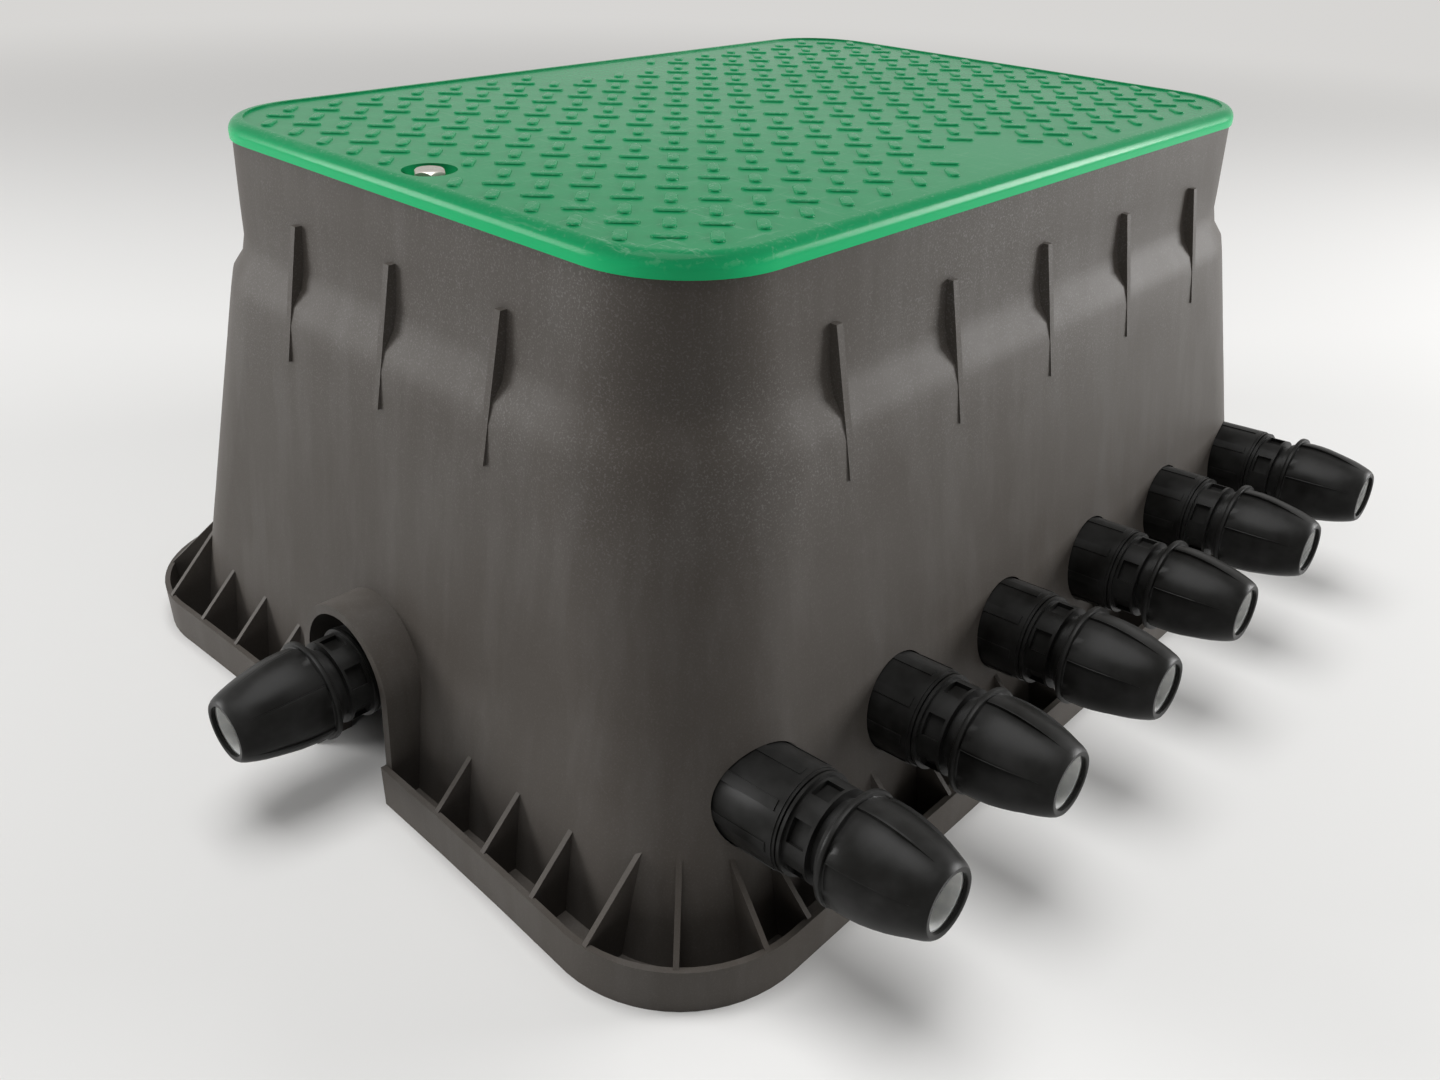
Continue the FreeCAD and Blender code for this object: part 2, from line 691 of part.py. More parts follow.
def lid_fasteners():
    """Bolt, washer and captive nut at the inlet end of the lid."""
    washer_foot = f"{d.box_height} - {d.lid_dish} - {d.recess_depth}"
    washer = rod("washer_disc", d.washer_diameter, d.washer_thickness)
    eye = rod("washer_eye", f"{d.bolt_diameter} + {d.bolt_clearance}", f"3 * {d.washer_thickness}")
    place(eye, z=f"-{d.washer_thickness}")
    ring = place(cut("washer_ring", washer, eye), x=bolt_x, z=washer_foot)
    keep("lid_washer", ring)
    head_foot = f"({washer_foot} + {d.washer_thickness})"
    head = place(hexagon("bolt_head", d.bolt_head_width, d.bolt_head_height), x=bolt_x, z=head_foot)
    crown = doc.addObject("Part::Cone", "bolt_crown")
    bind(crown, Radius1=f"{d.bolt_head_width} / 2 + {d.bolt_head_height}", Radius2=f"{d.bolt_head_width} * 0.47")
    bind(crown, Height=d.bolt_head_height)
    place(crown, x=bolt_x, z=head_foot)
    shank = rod("bolt_shank", d.bolt_diameter, f"{d.bolt_length} + 1")
    place(shank, x=bolt_x, z=f"{head_foot} - {d.bolt_length}")
    keep("lid_bolt", fuse("lid_bolt_solid", common("bolt_head_crowned", head, crown), shank))
    nut = hexagon("lid_nut_hex", d.bolt_head_width, d.nut_height)
    nut_eye = rod("lid_nut_eye", f"{d.bolt_diameter} + 2 * {d.fit_clearance}", f"3 * {d.nut_height}")
    place(nut_eye, z=f"-{d.nut_height}")
    nut_ring = cut("lid_nut_ring", nut, nut_eye)
    keep("lid_nut", place(nut_ring, x=bolt_x, z=f"{rim_height} - {d.boss_height} + {d.fit_clearance}"))


def radius(diameter):
    return f"{diameter} / 2"


hub_start = f"({d.thread_length} + {d.flange_thickness})"
neck_start = f"({hub_start} + {d.hub_length})"
spigot_start = f"({neck_start} + {d.neck_length})"
spigot_end = f"({spigot_start} + {d.spigot_length})"


def fitting_body():
    """The body that the pipe is pushed into, with its outer thread, flange, windowed hub and spigot."""
    seat_start = f"{spigot_end} - {d.seal_seat_depth}"
    stop = f"{spigot_end} - {d.pipe_stop_depth}"
    groove_start = f"({d.thread_length} + {d.flange_groove_start})"
    groove_end = f"({groove_start} + {d.flange_groove_width})"
    body = turned("fitting_body", [
        (radius(d.pipe_stop_bore), "0"),
        (radius(d.thread_diameter), "0"),
        (radius(d.thread_diameter), d.thread_length),
        (radius(d.flange_diameter), d.thread_length),
        (radius(d.flange_diameter), groove_start),
        (f"{d.flange_diameter} / 2 - {d.flange_groove_depth}", groove_start),
        (f"{d.flange_diameter} / 2 - {d.flange_groove_depth}", groove_end),
        (radius(d.flange_diameter), groove_end),
        (radius(d.flange_diameter), hub_start),
        (radius(d.hub_diameter), hub_start),
        (radius(d.hub_diameter), neck_start),
        (radius(d.neck_diameter), neck_start),
        (radius(d.neck_diameter), spigot_start),
        (radius(d.spigot_diameter), spigot_start),
        (radius(d.spigot_diameter), spigot_end),
        (radius(d.seal_seat_diameter), spigot_end),
        (radius(d.seal_seat_diameter), seat_start),
        (radius(d.pipe_bore), seat_start),
        (radius(d.pipe_bore), stop),
        (radius(d.pipe_stop_bore), stop),
    ])

    def window(name):
        opening = block(name, d.window_width, f"{d.hub_length} - 3", f"2 * {d.window_depth}")
        across = f"-{d.window_width} / 2"
        return place(opening, x=across, y=f"{hub_start} + 1.5", z=f"{d.hub_diameter} / 2 - {d.window_depth}")

    windows = ring_of("hub_windows", window, 6, Vector(0, 1, 0))
    return cut("fitting_body_solid", body, windows)


# The nut's outline from its collar to its mouth: share of the length, then share of the collar's radius.
OGIVE = [(0.0, 0.965), (0.25, 0.97), (0.48, 0.925), (0.72, 0.81), (0.93, 0.66)]
STEP_SHARE = 0.1


def nut_section(name, ridge_radius, depth, step, distance):
    """One ring of panels: arcs that bulge less than a circle, each with a small step up to the next."""
    edges = []
    for n in range(NUT_PANELS):
        start_angle = 2 * math.pi * n / NUT_PANELS
        end_angle = 2 * math.pi * (n + 1 - STEP_SHARE) / NUT_PANELS
        next_angle = 2 * math.pi * (n + 1) / NUT_PANELS
        corners = []
        spots = (
            (start_angle, ridge_radius),
            ((start_angle + end_angle) / 2, ridge_radius - step / 2 - depth),
            (end_angle, ridge_radius - step),
            (next_angle, ridge_radius),
        )
        for angle, reach in spots:
            corners.append(Vector(reach * math.cos(angle), distance, reach * math.sin(angle)))
        edges.append(Part.Arc(*corners[:3]).toShape())
        edges.append(Part.LineSegment(*corners[2:]).toShape())
    section = doc.addObject("Part::Feature", name)
    section.Shape = Part.Wire(edges)
    return section


def compression_nut():
    """The ogive nut: a thin round collar, overlapping curved panels, and a conical inside."""
    length = value(d.nut_length)
    collar = value(d.nut_collar_length)
    ridge = value(d.nut_collar_diameter) / 2
    sections = []
    for n, (share, scale) in enumerate(OGIVE):
        distance = collar * 0.5 + (length - collar * 0.5) * share
        depth = value(d.nut_panel_depth) * (1 - 0.6 * share)
        step = value(d.nut_panel_step) * (1 - 0.85 * share)
        sections.append(nut_section(f"nut_section_{n + 1}", ridge * scale, depth, step, distance))
    mouth = value(d.nut_mouth_diameter) / 2
    sections.append(nut_section("nut_section_mouth", mouth, 0.2, 0.15, length))
    panels = loft("nut_panels", sections, ruled=False)
    ring = rod("nut_collar", d.nut_collar_diameter, d.nut_collar_length)
    ring.Placement = Placement(Vector(), ALONG_Y)
    thread = f"{d.spigot_diameter} / 2 + {d.fit_clearance}"
    bore = f"{d.pipe_bore} / 2 + {d.fit_clearance}"
    hollow = turned("nut_hollow", [
        ("0", "-1"),
        (thread, "-1"),
        (thread, d.nut_thread_length),
        (radius(d.nut_cone_large), d.nut_thread_length),
        (radius(d.nut_cone_small), f"{d.nut_length} - {d.nut_lip}"),
        (bore, f"{d.nut_length} - {d.nut_lip}"),
        (bore, f"{d.nut_length} + 1"),
        ("0", f"{d.nut_length} + 1"),
    ])
    return cut("compression_nut_solid", fuse("nut_outside", panels, ring), hollow)


nut_offset = f"({d.thread_length} + {d.nut_start})"
bush_end = f"({spigot_end} + {d.bush_length} - 1.5)"


def grip_ring():
    """The split ring that bites on the pipe: a cone with one slot, behind the nut's mouth."""
    start = f"({bush_end} + {d.fit_clearance})"
    end = f"({nut_offset} + {d.nut_length} - {d.nut_lip} - {d.fit_clearance})"
    cone_run = f"({d.nut_length} - {d.nut_lip} - {d.nut_thread_length})"
    slope = f"(({d.nut_cone_large} - {d.nut_cone_small}) / 2 / {cone_run})"
    small = f"({d.nut_cone_small} / 2 - 2 * {d.fit_clearance})"
    inner = f"{d.pipe_bore} / 2"
    large = f"({small} + {slope} * ({end} - {start}))"
    cone = turned("grip_cone", [(inner, start), (large, start), (small, end), (inner, end)])
    slot = block("grip_slot", d.grip_gap, "60", "40")
    place(slot, x=f"-{d.grip_gap} / 2", y=f"{start} - 5", z="0")
    return cut("grip_ring_solid", cone, slot)


def fitting_seal():
    """The rubber ring in the body's mouth."""
    ring = doc.addObject("Part::Torus", "fitting_seal")
    bind(ring, Radius1=f"{d.pipe_bore} / 2 + {d.seal_section} / 2 + 0.05", Radius2=f"{d.seal_section} / 2")
    seat = f"{spigot_end} - {d.seal_seat_depth} + {d.seal_section} / 2 + 0.1"
    return place(ring, y=seat, rotation=ALONG_Y)


def pressing_bush():
    """The bush that the grip ring pushes onto the seal."""
    gap = d.fit_clearance
    nose = f"{spigot_end} - {d.seal_seat_depth} + {d.seal_section} + 0.3"
    return turned("pressing_bush", [
        (radius(d.pipe_bore), nose),
        (f"{d.seal_seat_diameter} / 2 - {gap}", nose),
        (f"{d.seal_seat_diameter} / 2 - {gap}", f"{spigot_end} + {gap}"),
        (f"{d.nut_cone_large} / 2 - 2 * {gap}", f"{spigot_end} + {gap}"),
        (f"{d.nut_cone_large} / 2 - 2 * {gap}", bush_end),
        (radius(d.pipe_bore), bush_end),
    ])


def compression_fittings():
    """Seven alike fittings: the inlet and the outlets."""
    body = fitting_body()
    nut = place(compression_nut(), y=nut_offset)
    grip = grip_ring()
    for name, line in zip(fitting_names, fitting_lines):
        keep(name + "_fitting_body", body, line)
        keep(name + "_nut", nut, line)
        keep(name + "_grip_ring", grip, line)
    keep_group("fitting_seals", fitting_seal(), fitting_lines)
    keep_group("pressing_bushes", pressing_bush(), fitting_lines)


socket_start = f"({d.socket_face_distance} - {d.socket_length})"
socket_bore = f"({d.thread_diameter} / 2 + {d.fit_clearance})"


def wall_sockets():
    """Ribbed sockets through the wall, each with a valve's outlet in one end and a fitting in the other."""
    chamfer = d.socket_end_round
    inner = socket_start
    body = turned("wall_socket_tube", [
        (socket_bore, inner),
        (f"{d.socket_diameter} / 2 - {chamfer}", inner),
        (f"{d.socket_diameter} / 2 - 0.3 * {chamfer}", f"{inner} + 0.3 * {chamfer}"),
        (radius(d.socket_diameter), f"{inner} + {chamfer}"),
        (radius(d.socket_diameter), d.socket_face_distance),
        (socket_bore, d.socket_face_distance),
    ])

    def rib(name):
        bar = block(name, d.socket_rib_width, f"{d.socket_length} - 2 * {chamfer}", f"{d.socket_rib} + 2")
        middle = f"-{d.socket_rib_width} / 2"
        return place(bar, x=middle, y=f"{inner} + {chamfer}", z=f"{d.socket_diameter} / 2 - 2")

    limit = rod("socket_limit", f"{d.socket_diameter} + 2 * {d.socket_rib}", "400")
    limit.Placement = Placement(Vector(), ALONG_Y)
    ribs = common("socket_ribs_round", ring_of("socket_ribs", rib, 8, Vector(0, 1, 0)), limit)
    socket = fuse("wall_socket_solid", body, ribs)
    for n, line in enumerate(outlet_lines):
        keep(f"wall_socket_{n + 1}", socket, line)


def manifold():
    """One moulded manifold: a pipe along the box with a threaded branch for each valve."""
    port_start = f"(-{d.inlet_face_distance})"
    run_end = f"{d.manifold_end_distance} - {d.cap_length} + 3"
    run = rod("manifold_run", d.manifold_diameter, f"{d.inlet_face_distance} + {run_end} - 5")
    place(run, x=f"{port_start} + 5", z=d.manifold_height, rotation=ALONG_X)
    port = rod("manifold_port", d.port_diameter, d.port_length)
    place(port, x=port_start, z=d.manifold_height, rotation=ALONG_X)
    spigot = rod("manifold_end_thread", d.branch_thread_diameter, f"{d.cap_length} + 4")
    thread_foot = f"{d.manifold_end_distance} - {d.cap_length} - 4"
    place(spigot, x=thread_foot, z=d.manifold_height, rotation=ALONG_X)
    groove_width = f"({d.union_seal_section} + 0.1)"
    branches = []
    bores = []
    for n, line in enumerate(outlet_lines):
        branch = rod(f"manifold_branch_{n + 1}", d.branch_thread_diameter, d.branch_length)
        branch.Placement = line.multiply(Placement(Vector(), ALONG_Y))
        collar = rod(f"manifold_collar_{n + 1}", f"{d.manifold_diameter} + 6", "10")
        middle = Placement(Vector(-5, 0, 0), ALONG_X)
        collar.Placement = line.multiply(middle)
        branches += [branch, collar]
        bore = rod(f"branch_bore_{n + 1}", d.valve_bore, f"{d.branch_length} + 5")
        bore.Placement = line.multiply(Placement(Vector(), ALONG_Y))
        ring = rod(f"branch_groove_ring_{n + 1}", f"{d.union_seal_diameter} + {groove_width}", groove_width)
        core = rod(f"branch_groove_core_{n + 1}", f"{d.union_seal_diameter} - {groove_width}", groove_width)
        groove = cut(f"branch_groove_{n + 1}", ring, core)
        seat = value(f"{d.branch_length} - {d.union_seal_section} + {d.fit_clearance} - 0.05")
        groove.Placement = line.multiply(Placement(Vector(0, seat, 0), ALONG_Y))
        bores += [bore, groove]
    inner = rod("manifold_bore_run", d.manifold_bore, f"{d.inlet_face_distance} + {d.manifold_end_distance} - 20")
    place(inner, x=f"{port_start} + 20", z=d.manifold_height, rotation=ALONG_X)
    mouth = rod("manifold_port_bore", f"2 * {socket_bore}", f"{d.thread_length} + 6")
    place(mouth, x=f"{port_start} - 1", z=d.manifold_height, rotation=ALONG_X)
    outside = fuse("manifold_outside", run, port, spigot, *branches)
    keep("manifold", cut("manifold_solid", outside, fuse("manifold_hollows", inner, mouth, *bores)))
    cap = turned("manifold_cap_body", [
        ("0", f"{d.cap_length}"),
        ("0", f"{d.cap_length} - 4"),
        (f"{d.branch_thread_diameter} / 2 + {d.fit_clearance}", f"{d.cap_length} - 4"),
        (f"{d.branch_thread_diameter} / 2 + {d.fit_clearance}", "0"),
        (radius(d.cap_diameter), "0"),
        (radius(d.cap_diameter), f"{d.cap_length} - 2"),
        (f"{d.cap_diameter} / 2 - 2", f"{d.cap_length}"),
    ])
    end = f"{d.manifold_end_distance} - {d.cap_length} + 4 + {d.fit_clearance}"
    place(cap, x=end, z=d.manifold_height, rotation=Rotation(Vector(0, 0, 1), -90))
    keep("manifold_cap", cap)


tail_start = f"({d.branch_length} + {d.fit_clearance})"


def unions():
    """Swivel nuts and seals that hold the valves on the manifold's branches."""
    start = f"({tail_start} + {d.tail_flange_thickness} + {d.fit_clearance} + {d.union_lip} - {d.union_length})"
    lip_start = f"({start} + {d.union_length} - {d.union_lip})"
    thread = f"{d.branch_thread_diameter} / 2 + {d.fit_clearance}"
    nut = turned("union_nut_ring", [
        (thread, start),
        (radius(d.union_diameter), start),
        (radius(d.union_diameter), f"{start} + {d.union_length} - 2"),
        (f"{d.union_diameter} / 2 - 2", f"{start} + {d.union_length}"),
        (f"{socket_bore}", f"{start} + {d.union_length}"),
        (f"{socket_bore}", lip_start),
        (thread, lip_start),
    ])

    def grip(name):
        bar = block(name, "3", f"{d.union_length} - 3", "3")
        return place(bar, x="-1.5", y=start, z=f"{d.union_diameter} / 2 - 2")

    solid = fuse("union_nut_solid", nut, ring_of("union_grips", grip, 12, Vector(0, 1, 0)))
    keep_group("union_nuts", solid, outlet_lines)
    ring = doc.addObject("Part::Torus", "union_seal")
    bind(ring, Radius1=radius(d.union_seal_diameter), Radius2=f"{d.union_seal_section} / 2")
    seat = f"{d.branch_length} - {d.union_seal_section} / 2 + {d.fit_clearance}"
    keep_group("union_seals", place(ring, y=seat, rotation=ALONG_Y), outlet_lines)


flange_top = f"({d.valve_flange_thickness} + 14)"
bonnet_foot = f"({flange_top} + {d.diaphragm_thickness})"
centre = d.valve_centre_distance


def valve_body():
    """The lower valve half: inlet tail, bowl with its seat, flange and threaded outlet."""
    tube = rod("valve_tube", d.thread_diameter, f"{d.valve_outlet_reach} - {tail_start}")
    place(tube, y=tail_start, rotation=ALONG_Y)
    tail_flange = rod("valve_tail_flange", d.tail_flange_diameter, d.tail_flange_thickness)
    place(tail_flange, y=tail_start, rotation=ALONG_Y)
    hex_start = f"{centre} + {d.valve_flange_diameter} / 2 + 8"
    shoulder = hexagon("valve_hexagon", d.valve_hex_width, d.valve_hex_length)
    place(shoulder, y=hex_start, rotation=ALONG_Y)
    bowl = rod("valve_bowl", d.valve_bowl_diameter, f"{d.valve_bowl_depth} + 14")
    place(bowl, y=centre, z=f"-{d.valve_bowl_depth}")
    round_bottom = doc.addObject("Part::Fillet", "valve_bowl_rounded")
    round_bottom.Base = bowl
    doc.recompute()
    low = bowl.Shape.BoundBox.ZMin
    edges = [n for n, e in enumerate(bowl.Shape.Edges, 1) if abs(e.BoundBox.ZMax - low) < 1e-4]
    round_bottom.Edges = [(n, 5, 5) for n in edges]
    flange = rod("valve_flange", d.valve_flange_diameter, d.valve_flange_thickness)
    place(flange, y=centre, z="14")
    chamber_foot = f"(4 - {d.valve_bowl_depth})"
    chamber = rod("valve_chamber", d.valve_chamber_diameter, f"{flange_top} + 1 - {chamber_foot}")
    place(chamber, y=centre, z=chamber_foot)
    riser = rod("valve_riser", f"{d.valve_bore} + 6", f"{d.valve_seat_height} + 20")
    place(riser, y=centre, z="-20")
    way_in = rod("valve_way_in", d.valve_bore, f"{centre} - {tail_start}")
    place(way_in, y=f"{tail_start} - 1", rotation=ALONG_Y)
    elbow = rod("valve_elbow", f"{d.valve_bore} + 4.5", f"{d.valve_chamber_diameter} / 2 + 6")
    place(elbow, y=f"{centre} + 3", rotation=ALONG_Y)
    way_out = rod("valve_way_out", d.valve_bore, f"{d.valve_outlet_reach} - {centre} + 5")
    place(way_out, y=f"{centre} - 4", rotation=ALONG_Y)
    way_up = rod("valve_way_up", f"{d.valve_bore} - 4", f"{d.valve_seat_height} + 8")
    place(way_up, y=centre, z="-7")
    outside = fuse("valve_outside", tube, tail_flange, shoulder, round_bottom, flange)
    kept_inside = fuse("valve_kept_inside", riser, elbow)
    hollow = cut("valve_hollow", fuse("valve_inner_space", chamber, way_in), kept_inside)
    opened = cut("valve_opened", outside, hollow)
    screws = screw_ring("valve_screw_holes", f"{d.screw_diameter} + 0.3", "30", f"{flange_top} - 4.5")
    drained = cut("valve_drained", opened, way_out)
    return cut("valve_body_solid", cut("valve_seated", drained, way_up), screws)


def screw_ring(name, diameter, height, foot):
    """Upright pins on the valve's screw circle."""
    pins = []
    for n in range(VALVE_SCREWS):
        angle = math.radians(360 * n / VALVE_SCREWS)
        pin = rod(f"{name}_{n + 1}", diameter, height)
        x = f"{d.screw_circle} / 2 * {math.cos(angle):.6f}"
        y = f"{centre} + {d.screw_circle} / 2 * {math.sin(angle):.6f}"
        pins.append(place(pin, x=x, y=y, z=foot))
    return fuse(name, *pins)


dome_top = f"({bonnet_foot} + {d.valve_flange_thickness} + {d.bonnet_dome_height})"
solenoid_y = f"({centre} + {d.solenoid_offset})"
boss_top = f"({bonnet_foot} + {d.solenoid_boss_height} + 6)"


def valve_bonnet():
    """The upper valve half: a flange, a ribbed dome and the solenoid's boss."""
    flange = rod("bonnet_flange", d.valve_flange_diameter, d.valve_flange_thickness)
    place(flange, y=centre, z=bonnet_foot)
    dome = doc.addObject("Part::Cone", "bonnet_dome")
    bind(dome, Radius1=radius(d.bonnet_dome_diameter), Radius2=f"{d.bonnet_dome_diameter} / 3")
    bind(dome, Height=d.bonnet_dome_height)
    place(dome, y=centre, z=f"{bonnet_foot} + {d.valve_flange_thickness}")
    boss = rod("solenoid_boss", d.solenoid_boss_diameter, f"{boss_top} - {bonnet_foot}")
    place(boss, y=solenoid_y, z=bonnet_foot)

    def rib(name):
        fin_plate = doc.addObject("Part::Wedge", name)
        half = f"{d.bonnet_rib_thickness} / 2"
        bind(fin_plate, Xmin=f"-{half}", Xmax=half, X2min=f"-{half}", X2max=half)
        bind(fin_plate, Ymin="0", Ymax=f"{d.valve_flange_diameter} / 2 - 9", Zmin="0", Z2min="0")
        bind(fin_plate, Zmax=f"{d.bonnet_dome_height} + 2", Z2max="3")
        return fin_plate

    ribs = ring_of("bonnet_ribs", rib, VALVE_SCREWS, Vector(0, 0, 1))
    place(ribs, y=centre, z=f"{bonnet_foot} + {d.valve_flange_thickness}")
    socket = rod("solenoid_socket", f"{d.solenoid_stem_diameter} + 2 * {d.fit_clearance}", "20")
    place(socket, y=solenoid_y, z=f"{boss_top} - {d.solenoid_stem_length} - {d.fit_clearance}")
    screws = screw_ring("bonnet_screw_holes", f"{d.screw_diameter} + 0.3", "30", f"{bonnet_foot} - 10")
    joined = fuse("bonnet_joined", flange, dome, boss, ribs)
    return cut("valve_bonnet_solid", joined, fuse("bonnet_cuts", socket, screws))


def solenoid():
    """The coil on its threaded stem, with a hexagonal foot and two wire inlets on top."""
    stem = rod("solenoid_stem", d.solenoid_stem_diameter, f"{d.solenoid_stem_length} + 1")
    place(stem, z=f"-{d.solenoid_stem_length}")
    foot = place(hexagon("solenoid_foot", "26", "6"), z=d.fit_clearance)
    coil = place(rod("solenoid_coil", d.solenoid_diameter, d.solenoid_height), z="6")
    crown = place(rod("solenoid_crown", f"{d.solenoid_diameter} - 6", "3"), z=f"6 + {d.solenoid_height}")
    inlets = []
    for side in (-1, 1):
        inlet = rod(f"wire_inlet_{side + 2}", "3", "6")
        inlets.append(place(inlet, x=f"{side} * 4", z=f"6 + {d.solenoid_height}"))
    joined = fuse("solenoid_joined", stem, foot, coil, crown)
    return place(cut("solenoid_solid", joined, fuse("wire_inlets", *inlets)), y=solenoid_y, z=boss_top)


def valve_screw_set():
    """Six screws that clamp the bonnet and diaphragm on the body."""
    head_foot = f"({bonnet_foot} + {d.valve_flange_thickness} + 0.05)"
    shanks = screw_ring("screw_shanks", d.screw_diameter, f"{d.screw_length} + 1", f"{head_foot} - {d.screw_length}")
    heads = screw_ring("screw_heads", d.screw_head_diameter, d.screw_head_height, head_foot)
    return fuse("screw_set", shanks, heads)


def diaphragm():
    """The rubber disc between the valve's halves, with its screw holes."""
    disc = rod("diaphragm_disc", f"{d.valve_flange_diameter} - 1", f"{d.diaphragm_thickness} - 0.1")
    place(disc, y=centre, z=f"{flange_top} + 0.05")
    holes = screw_ring("diaphragm_holes", f"{d.screw_diameter} + 0.3", "20", f"{flange_top} - 10")
    return cut("diaphragm_solid", disc, holes)


def valves():
    """One valve on each branch."""
    pieces = (("valve_body", valve_body()), ("valve_bonnet", valve_bonnet()), ("solenoid", solenoid()))
    for n, line in enumerate(outlet_lines):
        for name, piece in pieces:
            keep(f"{name}_{n + 1}", piece, line)
    keep_group("bonnet_screws", valve_screw_set(), outlet_lines)
    keep_group("diaphragms", diaphragm(), outlet_lines)


box_body()
lid()
lid_fasteners()
compression_fittings()
wall_sockets()
manifold()
unions()
valves()
doc.recompute()

for item in doc.Objects:
    if "Invalid" in item.State or "Error" in item.State:
        raise RuntimeError(f"{item.Label} failed: {item.State}")
for name, piece in kept.items():
    if piece.Shape.isNull() or not piece.Shape.isValid() or not piece.Shape.Solids:
        raise RuntimeError(f"{name} has no valid solid")

os.makedirs("parts", exist_ok=True)
for name, piece in kept.items():
    piece.Shape.exportStep(f"parts/{name}.step")
    print(name, len(piece.Shape.Solids), "solid", round(piece.Shape.Volume / 1000, 1), "cm3")
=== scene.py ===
import json
from math import cos, pi, radians, sin

import bmesh
import bpy
from bpy.props import FloatProperty, FloatVectorProperty, IntProperty, PointerProperty
from mathutils import Matrix, Vector


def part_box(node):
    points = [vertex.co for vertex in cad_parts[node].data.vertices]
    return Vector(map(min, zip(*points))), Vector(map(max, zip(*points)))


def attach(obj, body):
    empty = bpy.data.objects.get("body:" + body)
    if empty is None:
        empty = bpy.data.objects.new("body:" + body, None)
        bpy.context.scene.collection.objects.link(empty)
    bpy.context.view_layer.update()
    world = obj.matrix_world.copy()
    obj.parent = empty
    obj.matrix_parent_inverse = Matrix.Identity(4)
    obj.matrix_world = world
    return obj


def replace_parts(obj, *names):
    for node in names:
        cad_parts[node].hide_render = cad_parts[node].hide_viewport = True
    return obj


bl_info = {
    "name": "Irrigation Valve Box",
    "version": (1, 0, 0),
    "blender": (4, 5, 0),
    "location": "3D View > Sidebar > Valve Box",
    "description": "Dresses a valve box with its lid treads, fittings, valves and a studio",
    "category": "Object",
}

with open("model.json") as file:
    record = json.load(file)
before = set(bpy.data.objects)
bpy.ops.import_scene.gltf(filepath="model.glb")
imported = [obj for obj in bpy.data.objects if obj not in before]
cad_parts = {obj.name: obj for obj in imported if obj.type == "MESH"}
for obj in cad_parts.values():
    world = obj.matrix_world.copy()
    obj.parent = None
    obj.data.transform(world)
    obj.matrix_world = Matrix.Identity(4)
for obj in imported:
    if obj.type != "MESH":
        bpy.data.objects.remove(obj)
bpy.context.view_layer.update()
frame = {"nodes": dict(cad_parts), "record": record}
BODY_OF = {node: body for body, nodes in frame["record"]["behaviour"]["bodies"].items() for node in nodes}
SLOT_OF = {part["node"]: part["material_slot"] for part in frame["record"]["subparts"]}

# Where the main forms lie, read from the frame.
lid_low, lid_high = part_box("lid")
LID_LENGTH = lid_high.x - lid_low.x
LID_WIDTH = lid_high.y - lid_low.y
washer_low, washer_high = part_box("lid_washer")
RECESS_CENTRE = (washer_low + washer_high) / 2

# Every compression nut is alike. The inlet's lies along X with its mouth at the low end.
nut_low, nut_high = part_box("inlet_nut")
NUT_LENGTH = nut_high.x - nut_low.x
NUT_RADIUS = (nut_high.y - nut_low.y) / 2
MOUNTS = {mount["name"]: mount for mount in frame["record"]["mounts"]}
PIPE_RADIUS = MOUNTS["inlet_pipe"]["dims"]["r_mm"] / 1000
NUT_BEHIND_PIPE = nut_high.x - MOUNTS["inlet_pipe"]["pos_m"][0]
FITTINGS = [f"outlet_{n}" for n in range(1, 7)] + ["inlet"]


def nodes_named(*endings):
    """CAD nodes whose names end in one of the endings, a trailing number aside."""
    return sorted(name for name in frame["nodes"] if name.rstrip("_0123456789").endswith(endings))


class LidSettings(bpy.types.PropertyGroup):
    """Sizes and colours of the lid and its treads."""

    colour: FloatVectorProperty(
        name="Green", description="Colour of the moulded lid", subtype="COLOR", size=3,
        default=(0.008, 0.235, 0.085), min=0, max=1)
    tread_length: FloatProperty(
        name="Tread Length", description="Length of one raised bar", default=0.0145, unit="LENGTH")
    tread_width: FloatProperty(
        name="Tread Width", description="Width of one raised bar", default=0.0058, unit="LENGTH")
    tread_height: FloatProperty(
        name="Tread Height", description="How far a bar stands up from the plate", default=0.00095,
        unit="LENGTH")
    pitch_along: FloatProperty(
        name="Pitch Along", description="Distance between like bars along the lid", default=0.0267,
        unit="LENGTH")
    pitch_across: FloatProperty(
        name="Pitch Across", description="Distance between like bars across the lid", default=0.0261,
        unit="LENGTH")
    margin: FloatProperty(
        name="Margin", description="Plain border between the treads and the lid's edge", default=0.017,
        unit="LENGTH")


class BoxSettings(bpy.types.PropertyGroup):
    """Looks of the box and the fittings."""

    colour: FloatVectorProperty(
        name="Box Colour", description="Colour of the box's moulding", subtype="COLOR", size=3,
        default=(0.066, 0.057, 0.049), min=0, max=1)
    fitting_colour: FloatVectorProperty(
        name="Fitting Colour", description="Colour of the compression fittings", subtype="COLOR", size=3,
        default=(0.0060, 0.0058, 0.0052), min=0, max=1)
    edge_angle: FloatProperty(
        name="Edge Angle", description="Edges sharper than this stay crisp", default=radians(32),
        subtype="ANGLE")


class NutSettings(bpy.types.PropertyGroup):
    """Shape of the compression nuts."""

    panels: IntProperty(
        name="Panels", description="Overlapping panels round each nut", default=6, min=3, max=12)
    step: FloatProperty(
        name="Panel Step", description="How far a panel's edge stands over the next one", default=0.0014,
        unit="LENGTH")
    collar: FloatProperty(
        name="Collar Width", description="Width of the round collar", default=0.0027, unit="LENGTH")
    lip: FloatProperty(
        name="Lip", description="Depth of the mouth in front of the grip ring", default=0.0022, unit="LENGTH")


